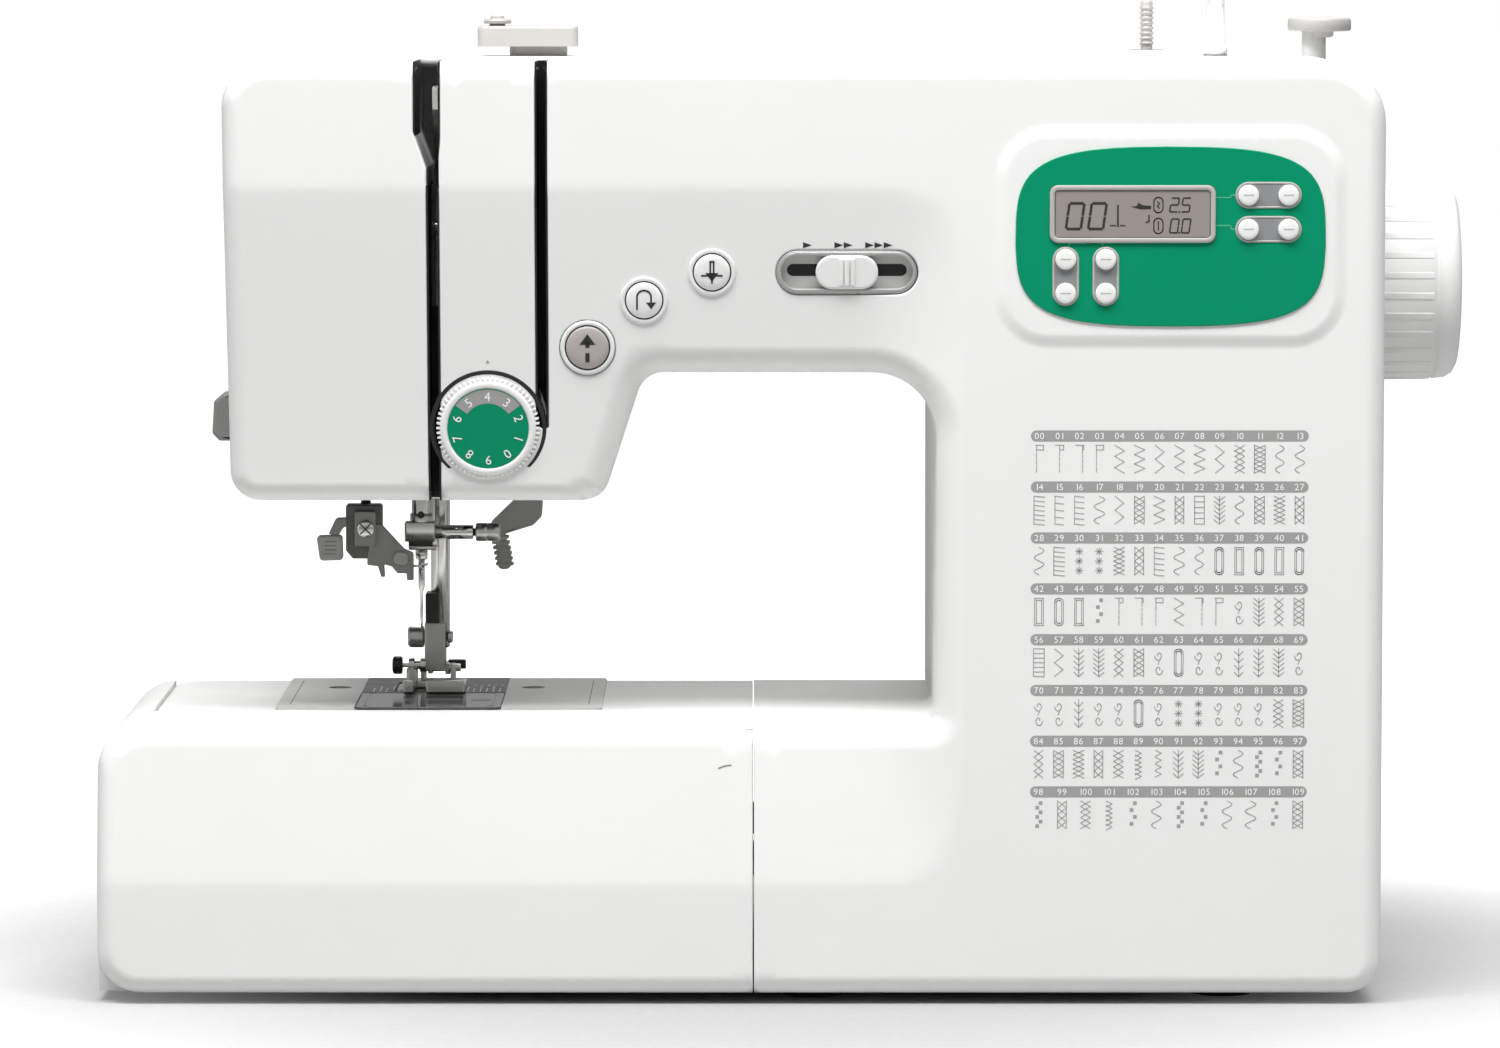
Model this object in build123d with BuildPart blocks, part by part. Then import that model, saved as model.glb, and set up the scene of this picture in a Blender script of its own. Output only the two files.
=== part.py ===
"""Free-arm household sewing machine, as separate pieces in one shared frame (mm, +Z up, front at -Y)."""
import os

from build123d import *

# Overall body
foot_height = 3.0
body_left = -168.0
body_right = 178.0
body_top = 282.0
front_y = -87.5
split_y = -20.0
arm_back = 50.0
column_back = 68.0
wall = 2.6
bed_left = -206.5
bed_top = 84.5
seam_x = -9.7
arm_underside = 188.6
head_underside = 150.0
head_right = -55.0
opening_right = 44.7
base_z = foot_height

# Sloped front surfaces inside the C-shaped crease
crease_top = 244.3
crease_bottom = 36.3
crease_side = 53.0
front_slope = 0.143

# Clearances
part_gap = 0.3
slide_fit = 0.05
seat_fit = 0.02

# Shafts
shaft_y = 0.0
shaft_z = 212.5
upper_shaft_radius = 6.0
lower_shaft_radius = 5.0
lower_shaft_z = 46.0
belt_x = 62.0
belt_width = 8.0
pulley_radius = 12.0

# Handwheel
wheel_radius = 30.3
wheel_depth = 28.2

# Needle and presser mechanism
needle_x = -112.8
needle_y = 6.0
needle_bar_radius = 3.0
presser_x = -107.5
presser_y = 20.0
presser_bar_radius = 3.0
guide_low_z = 156.0
guide_high_z = 180.0
guide_height = 8.0

# Free arm and hook
free_arm_left = -191.6
free_arm_front = -50.0
free_arm_back = 44.0
free_arm_bottom = 30.0
hook_x = -108.0
hook_y = -27.0
hook_radius = 18.6
plate_left = -155.0
plate_right = -56.0
plate_top = 85.0

# Controls
dial_x = -89.1
dial_z = 172.4
dial_radius = 15.3
dial_ring_radius = 17.0
start_x = -59.3
start_z = 196.5
start_radius = 6.5
reverse_x = -42.4
reverse_z = 210.7
reverse_radius = 5.6
needle_button_x = -22.2
needle_button_z = 219.1
slider_x = 17.9
slider_z = 219.1
slider_length = 38.7
slider_height = 10.2
knob_length = 19.2
panel_x = 113.8
panel_z = 229.9
panel_width = 92.0
panel_height = 53.4
lcd_x = 102.5
lcd_z = 236.6
lcd_width = 49.0
lcd_height = 16.9
key_radius = 3.1
key_travel = 0.8
button_travel = 1.2
slot_left_x = -105.1
slot_right_x = -72.9
slot_width = 3.7
slot_wide_x = -106.8
slot_wide_width = 8.0

# Top fittings
guide_block_x = -79.1
spool_x = 111.1
spool_pin_radius = 2.15
winder_x = 132.3
winder_post_x = 162.6
top_y = 0.0

os.makedirs("parts", exist_ok=True)


def surface_y(z):
    """Front surface of the arm at height z."""
    return front_y + front_slope * max(0.0, crease_top - z)


def plane_y(y):
    """Sketch plane facing the front at depth y (local x = X, local y = Z, extrudes towards -Y)."""
    return Plane.XZ.offset(-y)


def save(part, label):
    """Label one finished piece and write its STEP file."""
    part.label = label
    export_step(part, "parts/" + label + ".step")


def body_profile(inset):
    """C-shaped outline of the body seen from the front, moved inwards by inset."""
    with BuildSketch() as outline:
        with BuildLine():
            Polyline(
                (seam_x, base_z),
                (body_right, base_z),
                (body_right, body_top),
                (body_left, body_top),
                (body_left + 1.5, head_underside),
                (head_right, head_underside),
                (head_right + 12.5, arm_underside),
                (opening_right, arm_underside),
                (opening_right, bed_top),
                (seam_x, bed_top),
                close=True,
            )
        make_face()
        tops = outline.vertices().group_by(Axis.Y)[-1].sort_by(Axis.X)
        fillet(tops[0], 14.0)
        top_right = outline.vertices().group_by(Axis.Y)[-1].sort_by(Axis.X)[-1]
        fillet(top_right, 18.7)
        bottom_right = outline.vertices().group_by(Axis.Y)[0].sort_by(Axis.X)[-1]
        fillet(bottom_right, 10.5)
        near_head = outline.vertices().filter_by_position(Axis.Y, head_underside - 1, head_underside + 1)
        fillet(near_head.sort_by(Axis.X)[0], 9.0)
        corner = outline.vertices().filter_by_position(Axis.Y, head_underside - 1, head_underside + 1)
        fillet(corner.sort_by(Axis.X)[-1], 8.0)
        under = outline.vertices().filter_by_position(Axis.Y, arm_underside - 1, arm_underside + 1)
        fillet(under.sort_by(Axis.X)[0], 8.0)
        harp = outline.vertices().filter_by_position(Axis.Y, arm_underside - 1, arm_underside + 1)
        fillet(harp.sort_by(Axis.X)[-1], 19.0)
        if inset > 0:
            offset(amount=-inset, mode=Mode.REPLACE)
    return outline.sketch


def cylinder_y(x, z, radius, y_front, y_back):
    """Round bar lying front to back."""
    with BuildPart() as bar:
        with BuildSketch(plane_y(y_back)):
            with Locations((x, z)):
                Circle(radius)
        extrude(amount=y_back - y_front)
    return bar.part


def cylinder_x(y, z, radius, x_left, x_right):
    """Round bar lying left to right."""
    with BuildPart() as bar:
        with BuildSketch(Plane.YZ.offset(x_left)):
            with Locations((y, z)):
                Circle(radius)
        extrude(amount=x_right - x_left)
    return bar.part


def cylinder_z(x, y, radius, z_low, z_high):
    """Round upright bar."""
    with BuildPart() as bar:
        with BuildSketch(Plane.XY.offset(z_low)):
            with Locations((x, y)):
                Circle(radius)
        extrude(amount=z_high - z_low)
    return bar.part


def block(x_left, x_right, y_front, y_back, z_low, z_high):
    """Plain box between two corners."""
    with BuildPart() as box:
        with Locations(((x_left + x_right) / 2, (y_front + y_back) / 2, (z_low + z_high) / 2)):
            Box(x_right - x_left, y_back - y_front, z_high - z_low)
    return box.part


def back_surface(x):
    """Depth of the rear face at a given x."""
    if x > opening_right:
        return column_back
    return arm_back


# Wedge removed inside the crease, so the arm and bed fronts lean back towards the opening
crease_middle = (crease_top + crease_bottom) / 2
slope_depth = front_slope * (crease_top - crease_middle)
with BuildPart() as slope_cut:
    with BuildSketch(Plane.YZ.offset(-230)):
        with BuildLine():
            Polyline(
                (front_y, crease_top),
                (front_y + slope_depth, crease_middle),
                (front_y, crease_bottom),
                (front_y - 5, crease_bottom),
                (front_y - 5, crease_top),
                close=True,
            )
        make_face()
    extrude(amount=230 + crease_side)
    with BuildSketch(Plane.XY):
        with BuildLine():
            Polyline(
                (crease_side, front_y),
                (crease_side - 140, front_y + 140 * front_slope),
                (-231, front_y + 140 * front_slope),
                (-231, front_y - 6),
                (crease_side, front_y - 6),
                close=True,
            )
        make_face()
    extrude(amount=body_top + 20, mode=Mode.INTERSECT)

# Sketch plane lying on the leaning front at the tension dial, facing outwards
dial_plane = Plane(origin=(dial_x, surface_y(dial_z), dial_z), x_dir=(1, 0, 0), z_dir=(0, -1, -front_slope))

cavity_front = front_y + slope_depth + wall
screw_spots = (
    (body_left + 12, body_top - 14),
    (20.0, body_top - 9),
    (body_right - 12, body_top - 16),
    (body_right - 9, 110.0),
    (body_right - 14, base_z + 14),
    (body_left + 10, head_underside + 16),
    (opening_right + 9, 136.0),
)
screw_radius = 1.5
screw_head_radius = 3.0

# Front half of the body
with BuildPart() as front_cover:
    with BuildSketch(plane_y(split_y)):
        add(body_profile(0))
    extrude(amount=split_y - front_y)
    fillet(front_cover.faces().sort_by(Axis.Y)[0].edges(), 6.0)
    add(slope_cut.part, mode=Mode.SUBTRACT)
    with BuildSketch(plane_y(split_y)):
        add(body_profile(wall))
    extrude(amount=split_y - cavity_front, mode=Mode.SUBTRACT)
    add(block(58, body_right - 6, front_y + wall, cavity_front + 1, 12, body_top - 6), mode=Mode.SUBTRACT)
    # control panel, buttons and slider
    add(block(70, 157, front_y - 1, cavity_front, panel_z - 23.5, panel_z + 23.5), mode=Mode.SUBTRACT)
    add(cylinder_y(start_x, start_z, start_radius + 1.8, front_y - 1, cavity_front + 1), mode=Mode.SUBTRACT)
    add(cylinder_y(reverse_x, reverse_z, reverse_radius + 1.2, front_y - 1, cavity_front + 1), mode=Mode.SUBTRACT)
    add(cylinder_y(needle_button_x, needle_button_z, reverse_radius + 1.2, front_y - 1, cavity_front + 1),
        mode=Mode.SUBTRACT)
    with BuildSketch(plane_y(cavity_front + 1)):
        with Locations((slider_x, slider_z)):
            RectangleRounded(slider_length + 3.4, slider_height + 2.8, 2.6)
    extrude(amount=30, mode=Mode.SUBTRACT)
    # tension dial pocket and the two thread slots
    with BuildSketch(dial_plane):
        Circle(dial_ring_radius)
    extrude(amount=10, both=True, mode=Mode.SUBTRACT)
    with BuildSketch(dial_plane):
        Circle(dial_ring_radius)
    extrude(amount=-22, mode=Mode.SUBTRACT)
    add(block(slot_left_x - slot_width / 2, slot_left_x + slot_width / 2, front_y - 1, front_y + 26,
              head_underside - 1, body_top + 1), mode=Mode.SUBTRACT)
    add(block(slot_wide_x - slot_wide_width / 2, slot_wide_x + slot_wide_width / 2, front_y - 1, front_y + 40,
              crease_top, body_top + 1), mode=Mode.SUBTRACT)
    add(block(slot_right_x - slot_width / 2, slot_right_x + slot_width / 2, front_y - 1, front_y + 26,
              dial_z, body_top + 1), mode=Mode.SUBTRACT)
    # opening towards the free arm
    add(block(seam_x - 1, seam_x + wall + 1, free_arm_front + 0.1, split_y + 1, 4, bed_top - 2.6),
        mode=Mode.SUBTRACT)
save(front_cover.part, "front_cover")

# Rear half of the body: the column stands further back than the arm
column_middle = (opening_right + body_right) / 2
with BuildPart() as rear_column:
    with BuildSketch(plane_y(split_y)):
        add(body_profile(0))
        with Locations((column_middle, body_top / 2)):
            Rectangle(body_right - opening_right, 2 * body_top, mode=Mode.INTERSECT)
    extrude(amount=-(column_back - split_y))
    fillet(rear_column.faces().sort_by(Axis.Y)[-1].edges(), 6.0)

with BuildPart() as rear_cover:
    with BuildSketch(plane_y(split_y)):
        add(body_profile(0))
    extrude(amount=-(arm_back - split_y))
    fillet(rear_cover.faces().sort_by(Axis.Y)[-1].edges(), 6.0)
    add(rear_column.part)
    add(block(seam_x - 1, opening_right, free_arm_back, column_back + 1, 0, bed_top + 1), mode=Mode.SUBTRACT)
    with BuildSketch(plane_y(split_y)):
        add(body_profile(wall))
    extrude(amount=-(free_arm_back - wall - split_y), mode=Mode.SUBTRACT)
    add(block(opening_right + wall, body_right - 7, split_y, column_back - wall, 12, body_top - 7),
        mode=Mode.SUBTRACT)
    # shaft hole, threader slot and open underside of the head
    add(cylinder_x(shaft_y, shaft_z, 8.0, body_right - 8, body_right + 1), mode=Mode.SUBTRACT)
    add(block(body_left - 1, body_left + 8, -14, -7, head_underside - 1, 181), mode=Mode.SUBTRACT)
    add(block(-150, -68, -18, free_arm_back - wall, head_underside - 1, head_underside + 4), mode=Mode.SUBTRACT)
    add(block(body_left - 1, -149, -14, -7, head_underside - 1, head_underside + 4), mode=Mode.SUBTRACT)
    # free-arm mouth
    add(block(seam_x - 1, seam_x + wall + 1, split_y - 1, free_arm_back - wall, 4, bed_top - 2.6),
        mode=Mode.SUBTRACT)
    # top fittings
    add(cylinder_z(spool_x, top_y, 3.5, body_top - 4, body_top + 1), mode=Mode.SUBTRACT)
    with BuildSketch(Plane.XY.offset(body_top - 4)):
        with Locations((winder_x + 2.5, top_y)):
            SlotOverall(14.5, 8.6)
    extrude(amount=6, mode=Mode.SUBTRACT)
    add(cylinder_z(winder_post_x, top_y, 2.0, body_top - 8, body_top + 1), mode=Mode.SUBTRACT)
    add(cylinder_z(guide_block_x, top_y, 2.0, body_top - 8, body_top + 1), mode=Mode.SUBTRACT)
    # presser lifter pivot, handle pivots and sockets
    add(cylinder_y(-76, 160, 3.0, free_arm_back - 4, arm_back + 1), mode=Mode.SUBTRACT)
    add(block(body_right - 8, body_right + 1, 7, 33, 48, 68), mode=Mode.SUBTRACT)
    add(block(body_right - 8, body_right + 1, 9, 31, 86, 108), mode=Mode.SUBTRACT)
    add(cylinder_x(-8, 58, 5.0, body_right - 8, body_right + 1), mode=Mode.SUBTRACT)
    for step in range(6):
        slot_z = 124 + 7 * step
        add(block(80, 140, column_back - 4, column_back + 1, slot_z, slot_z + 2.4), mode=Mode.SUBTRACT)
    for spot_x, spot_z in screw_spots:
        spot_back = back_surface(spot_x)
        add(cylinder_y(spot_x, spot_z, screw_head_radius + 0.2, spot_back - 3.2, spot_back + 1),
            mode=Mode.SUBTRACT)
        add(cylinder_y(spot_x, spot_z, screw_radius + seat_fit, spot_back - 13, spot_back), mode=Mode.SUBTRACT)
save(rear_cover.part, "rear_cover")

with BuildPart() as cover_screws:
    for spot_x, spot_z in screw_spots:
        spot_back = back_surface(spot_x)
        add(cylinder_y(spot_x, spot_z, screw_radius, spot_back - 12, spot_back - 3.1))
        add(cylinder_y(spot_x, spot_z, screw_head_radius, spot_back - 3.15, spot_back - 1))
        for turn in (0, 90):
            with Locations(Location((spot_x, spot_back - 1, spot_z), (0, turn, 0))):
                Box(3.6, 1.6, 0.8, mode=Mode.SUBTRACT)
save(cover_screws.part, "cover_screws")

# Frame that carries the shafts and the bars
slab_top = 11.7
post_left = 85.0
post_right = 100.0
beam_low = 230.0
beam_high = 240.0
head_plate_left = -100.0
arm_beam_low = 33.0
arm_beam_high = 37.0
with BuildPart() as inner_frame:
    add(block(-150, 166, free_arm_front + 8, free_arm_back - 6, base_z + 2.9, slab_top))
    add(block(post_left, post_right, -15, 15, slab_top, beam_high))
    add(block(-180, post_left + 2, -40, 15, arm_beam_low, arm_beam_high))
    add(block(head_plate_left, 166, -15, 15, beam_low, beam_high))
    add(block(head_plate_left, head_plate_left + 6, -15, 27, guide_low_z - 2, beam_high))
    add(block(158, 166, -15, 15, shaft_z - 17, beam_high))
    add(block(needle_x - 9, head_plate_left + 2, -1, presser_y + 7, guide_low_z, guide_low_z + guide_height))
    add(block(needle_x - 9, head_plate_left + 2, -1, presser_y + 7, guide_high_z, guide_high_z + guide_height))
    add(block(-60, -52, -12, 12, arm_beam_high - 1, lower_shaft_z + 14))
    add(cylinder_x(shaft_y, shaft_z, upper_shaft_radius + slide_fit, -130, 180), mode=Mode.SUBTRACT)
    add(cylinder_x(shaft_y, lower_shaft_z, lower_shaft_radius + slide_fit, -100, 110), mode=Mode.SUBTRACT)
    add(cylinder_z(needle_x, needle_y, needle_bar_radius + slide_fit, 140, 200), mode=Mode.SUBTRACT)
    add(cylinder_z(presser_x, presser_y, presser_bar_radius + slide_fit, 140, 200), mode=Mode.SUBTRACT)
    add(cylinder_z(hook_x, hook_y, 4.0 + slide_fit, arm_beam_low - 1, arm_beam_high + 1), mode=Mode.SUBTRACT)
    add(block(belt_x - 8, belt_x + 8, -17, 17, arm_beam_low - 1, arm_beam_high + 1), mode=Mode.SUBTRACT)
    add(block(-117, -99, -16, 16, arm_beam_low - 1, arm_beam_high + 1), mode=Mode.SUBTRACT)
save(inner_frame.part, "inner_frame")

foot_spots = (
    (-70.0, free_arm_front + 12, base_z + 2.9),
    (-135.0, free_arm_back - 15, base_z + 2.9),
    (131.7, -60.0, base_z),
    (131.7, 45.0, base_z),
    (8.0, -62.0, base_z),
    (8.0, 30.0, base_z),
)
with BuildPart() as rubber_feet:
    for foot_x, foot_y, foot_top in foot_spots:
        add(cylinder_z(foot_x, foot_y, 9.0, 0, foot_top))
save(rubber_feet.part, "rubber_feet")

# Free arm
with BuildPart() as free_arm_cover:
    add(block(free_arm_left, seam_x - part_gap, free_arm_front, free_arm_back, free_arm_bottom, bed_top))
    fillet(free_arm_cover.edges().filter_by(Axis.Z).group_by(Axis.X)[0], 12.0)
    left_rim = free_arm_cover.faces().sort_by(Axis.X)[0].edges().filter_by(Axis.Y)
    fillet(left_rim, 2.0)
    add(block(free_arm_left + 2.5, seam_x + 1, free_arm_front + 2.5, free_arm_back - 2.5,
              free_arm_bottom + 2.5, bed_top - 2.5), mode=Mode.SUBTRACT)
    add(block(plate_left - slide_fit, plate_right + slide_fit, free_arm_front + 3 - slide_fit,
              free_arm_back - 3 + slide_fit, bed_top - 5, bed_top + 1), mode=Mode.SUBTRACT)
save(free_arm_cover.part, "free_arm_cover")

plate_front = free_arm_front + 3
plate_back = free_arm_back - 3
cover_top = bed_top + 0.9
black_left = -131.0
black_right = -86.5
black_front = -3.9
screw_y = 12.0
with BuildPart() as needle_plate_cover:
    add(block(plate_left, plate_right, plate_front, plate_back, bed_top - 2.5, cover_top))
    fillet(needle_plate_cover.edges().filter_by(Axis.Z), 1.5)
    add(block(black_left - 0.1, black_right + 0.1, plate_front - 1, black_front - 0.2, bed_top, cover_top + 1),
        mode=Mode.SUBTRACT)
    add(block(black_left - seat_fit, black_right + seat_fit, black_front - seat_fit, plate_back + 1,
              bed_top - 0.5, cover_top + 1), mode=Mode.SUBTRACT)
    add(cylinder_z(hook_x, hook_y, 17.5, bed_top - 4, bed_top + 2), mode=Mode.SUBTRACT)
    add(block(-125, -100, -2.6, 30, bed_top - 4, bed_top + 2), mode=Mode.SUBTRACT)
    for side_x in (plate_left + 16.5, plate_right - 22.3):
        add(cylinder_z(side_x, screw_y, 3.6, bed_top - 1.1, cover_top + 1), mode=Mode.SUBTRACT)
        add(cylinder_z(side_x, screw_y, 1.5 + seat_fit, bed_top - 4, cover_top), mode=Mode.SUBTRACT)
save(needle_plate_cover.part, "needle_plate_cover")

with BuildPart() as plate_screws:
    for side_x in (plate_left + 16.5, plate_right - 22.3):
        add(cylinder_z(side_x, screw_y, 1.5, bed_top - 7, bed_top - 1.1))
        add(cylinder_z(side_x, screw_y, 3.3, bed_top - 1.1, bed_top + 0.5))
        with Locations((side_x, screw_y, bed_top + 0.4)):
            Box(5.2, 0.9, 1.2, mode=Mode.SUBTRACT)
save(plate_screws.part, "plate_screws")

feed_rows = (-119.3, -106.3)
feed_bar_width = 2.5
feed_travel = 2.2
feed_front = 2.0
feed_back = 24.0
with BuildPart() as needle_plate:
    add(block(black_left, black_right, black_front, plate_back - 0.1, bed_top - 0.5, bed_top + 1.0))
    fillet(needle_plate.edges().filter_by(Axis.Z), 1.0)
    for row_x in feed_rows:
        add(block(row_x - feed_bar_width / 2 - 0.3, row_x + feed_bar_width / 2 + 0.3,
                  feed_front - feed_travel - 0.3, feed_back + feed_travel + 0.3, bed_top - 2, bed_top + 2),
            mode=Mode.SUBTRACT)
    add(block(needle_x - 3.7, needle_x + 3.7, needle_y - 1.1, needle_y + 1.1, bed_top - 2, bed_top + 2),
        mode=Mode.SUBTRACT)
save(needle_plate.part, "needle_plate")

with BuildPart() as feed_dog:
    add(block(-121.5, -103.5, feed_front, feed_back, 75, 79))
    add(block(-121.5, -64, 9, 17, 66, 76))
    for row_x in feed_rows:
        add(block(row_x - feed_bar_width / 2, row_x + feed_bar_width / 2, feed_front, feed_back, 78, bed_top + 0.8))
        for tooth in range(9):
            with BuildSketch(Plane.YZ.offset(row_x - 2)):
                tooth_y = feed_front + 1.2 + 2.4 * tooth
                with BuildLine():
                    Polyline(
                        (tooth_y, bed_top + 1.0),
                        (tooth_y + 1.2, bed_top - 0.1),
                        (tooth_y + 1.2, bed_top + 1.0),
                        close=True,
                    )
                make_face()
            extrude(amount=4, mode=Mode.SUBTRACT)
    add(block(needle_x - 3.6, needle_x + 3.6, needle_y - 1.5 - feed_travel, needle_y + 1.5 + feed_travel, 74, 80),
        mode=Mode.SUBTRACT)
save(feed_dog.part, "feed_dog")

with BuildPart() as bobbin_cover:
    add(block(black_left + 0.2, black_right - 0.2, plate_front, black_front - 0.5, bed_top + 0.3, cover_top))
    with Locations((hook_x, plate_front + 5, cover_top)):
        Cylinder(4.5, 0.5, mode=Mode.SUBTRACT)
save(bobbin_cover.part, "bobbin_cover")

# Rotary hook, bobbin case and bobbin
with BuildPart() as rotary_hook:
    add(cylinder_z(hook_x, hook_y, 4.0, arm_beam_low + 0.5, 55))
    add(cylinder_z(hook_x, hook_y, 17.8, 41, 51))
    add(cylinder_z(hook_x, hook_y, hook_radius, 54, 73))
    add(cylinder_z(hook_x, hook_y, hook_radius - 2, 56.5, 74), mode=Mode.SUBTRACT)
    for turn in range(12):
        with Locations(Location((hook_x, hook_y, 46), (0, 0, 30 * turn))):
            with Locations((17.8, 0, 0)):
                Box(1.4, 2.0, 12, mode=Mode.SUBTRACT)
save(rotary_hook.part, "rotary_hook")

with BuildPart() as bobbin_case:
    add(cylinder_z(hook_x, hook_y, hook_radius - 2.4, 57, 74.5))
    add(cylinder_z(hook_x, hook_y, 12.2, 59, 75), mode=Mode.SUBTRACT)
save(bobbin_case.part, "bobbin_case")

with BuildPart() as bobbin:
    add(cylinder_z(hook_x, hook_y, 10.2, 59.3, 60.3))
    add(cylinder_z(hook_x, hook_y, 10.2, 70.0, 71.0))
    add(cylinder_z(hook_x, hook_y, 4.6, 59.4, 70.9))
    add(cylinder_z(hook_x, hook_y, 3.0, 59, 72), mode=Mode.SUBTRACT)
save(bobbin.part, "bobbin")

# Shafts and belt
with BuildPart() as upper_shaft:
    add(cylinder_x(shaft_y, shaft_z, upper_shaft_radius, head_plate_left - 2, body_right + 22))
    add(cylinder_x(shaft_y, shaft_z, 14.0, head_plate_left - 6.5, head_plate_left - 0.5))
    add(cylinder_x(shaft_y, shaft_z - 10, 2.0, head_plate_left - 9, head_plate_left - 6))
    add(cylinder_x(shaft_y, shaft_z, pulley_radius, belt_x - belt_width / 2, belt_x + belt_width / 2))
save(upper_shaft.part, "upper_shaft")

with BuildPart() as lower_shaft:
    add(cylinder_x(shaft_y, lower_shaft_z, lower_shaft_radius, -112, post_right + 4))
    add(cylinder_x(shaft_y, lower_shaft_z, 8.4, -112, -104))
    add(cylinder_x(shaft_y, lower_shaft_z, pulley_radius, belt_x - belt_width / 2, belt_x + belt_width / 2))
save(lower_shaft.part, "lower_shaft")

with BuildPart() as timing_belt:
    with BuildSketch(Plane.YZ.offset(belt_x - belt_width / 2 + 0.5)):
        with Locations(Location((shaft_y, (shaft_z + lower_shaft_z) / 2, 0), 90)):
            SlotCenterToCenter(shaft_z - lower_shaft_z, 2 * pulley_radius + 3.2)
            SlotCenterToCenter(shaft_z - lower_shaft_z, 2 * pulley_radius + 0.2, mode=Mode.SUBTRACT)
    extrude(amount=belt_width - 1)
save(timing_belt.part, "timing_belt")

with BuildPart() as main_motor:
    add(cylinder_x(25, 38, 20, 104, 142))
    add(cylinder_x(25, 38, 3, 142, 148))
    add(block(110, 136, 12, 36, slab_top, 26))
save(main_motor.part, "main_motor")

with BuildPart() as handwheel:
    with BuildSketch(Plane.XZ.offset(-shaft_y)):
        with BuildLine():
            Polyline(
                (body_right + part_gap, shaft_z),
                (body_right + wheel_depth + 0.3, shaft_z),
                (body_right + wheel_depth + 0.3, shaft_z + 16),
                (body_right + wheel_depth - 1.5, shaft_z + 23),
                (body_right + wheel_depth - 6, shaft_z + wheel_radius - 1.6),
                (body_right + wheel_depth - 10, shaft_z + wheel_radius),
                (body_right + 3.5, shaft_z + wheel_radius),
                (body_right + part_gap, shaft_z + wheel_radius - 2),
                close=True,
            )
        make_face()
    revolve(axis=Axis((0, shaft_y, shaft_z), (1, 0, 0)))
    for turn in range(24):
        with Locations(Location((body_right + 9, shaft_y, shaft_z), (15 * turn, 0, 0))):
            with Locations((0, wheel_radius + 0.6, 0)):
                Cylinder(1.4, 11, rotation=(0, 90, 0), mode=Mode.SUBTRACT)
    add(cylinder_x(shaft_y, shaft_z, upper_shaft_radius + seat_fit, body_right, body_right + 22.2),
        mode=Mode.SUBTRACT)
save(handwheel.part, "handwheel")

# Needle bar group
with BuildPart() as needle_bar:
    add(cylinder_z(needle_x, needle_y, needle_bar_radius, 129, 226))
save(needle_bar.part, "needle_bar")

with BuildPart() as needle_clamp:
    add(block(needle_x - 4.8, needle_x + 4.8, needle_y - 4.8, needle_y + 4.8, 125.5, 137.5))
    fillet(needle_clamp.edges().filter_by(Axis.Z), 1.5)
    add(cylinder_x(needle_y, 134.4, 2.2, needle_x + 4.5, needle_x + 20))
    add(cylinder_x(needle_y, 134.4, 2.8, needle_x + 19.6, needle_x + 24.5))
    add(cylinder_z(needle_x, needle_y, needle_bar_radius + seat_fit, 129, 138), mode=Mode.SUBTRACT)
    add(cylinder_z(needle_x, needle_y, 1.0 + seat_fit, 125, 130), mode=Mode.SUBTRACT)
save(needle_clamp.part, "needle_clamp")

with BuildPart() as needle:
    add(cylinder_z(needle_x, needle_y, 1.0, 120.5, 128.9))
    add(cylinder_z(needle_x, needle_y, 0.45, 106.5, 121))
    with BuildSketch(Plane.XY.offset(106.6)):
        with Locations((needle_x, needle_y)):
            Circle(0.45)
    extrude(amount=-2.6, taper=8)
save(needle.part, "needle")

lever_x = slot_left_x
lever_pivot_y = -24.0
lever_pivot_z = 230.0
with BuildPart() as take_up_lever:
    with BuildSketch(Plane.YZ.offset(lever_x - 0.8)):
        with BuildLine():
            Polyline(
                (lever_pivot_y + 3.6, lever_pivot_z - 2),
                (lever_pivot_y - 2, lever_pivot_z - 3.6),
                (lever_pivot_y - 42, lever_pivot_z + 37),
                (lever_pivot_y - 44, lever_pivot_z + 43),
                (lever_pivot_y - 38, lever_pivot_z + 44),
                (lever_pivot_y + 2, lever_pivot_z + 4.5),
                close=True,
            )
        make_face()
        with Locations((lever_pivot_y - 40.5, lever_pivot_z + 40)):
            Circle(1.3, mode=Mode.SUBTRACT)
    extrude(amount=1.6)
    add(cylinder_x(lever_pivot_y, lever_pivot_z, 2.5, lever_x - 3, lever_x + 3))
save(take_up_lever.part, "take_up_lever")

# Presser bar group
with BuildPart() as presser_bar:
    add(cylinder_z(presser_x, presser_y, presser_bar_radius, 97.2, 192))
save(presser_bar.part, "presser_bar")

foot_pivot_y = 16.0
foot_pivot_z = 91.2
holder_left = -111.5
holder_right = -103.5
with BuildPart() as foot_holder:
    add(block(holder_left, holder_right, 13, 26, 89, 106))
    fillet(foot_holder.edges().filter_by(Axis.Z), 1.2)
    add(cylinder_x(presser_y, 100, 1.6, holder_left - 3, holder_left + 1))
    add(cylinder_x(presser_y, 100, 3.2, holder_left - 6, holder_left - 2))
    add(cylinder_z(presser_x, presser_y, presser_bar_radius + seat_fit, 97, 107), mode=Mode.SUBTRACT)
    add(cylinder_x(foot_pivot_y, foot_pivot_z, 1.0 + slide_fit, holder_left - 1, holder_right + 1),
        mode=Mode.SUBTRACT)
save(foot_holder.part, "foot_holder")

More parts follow.
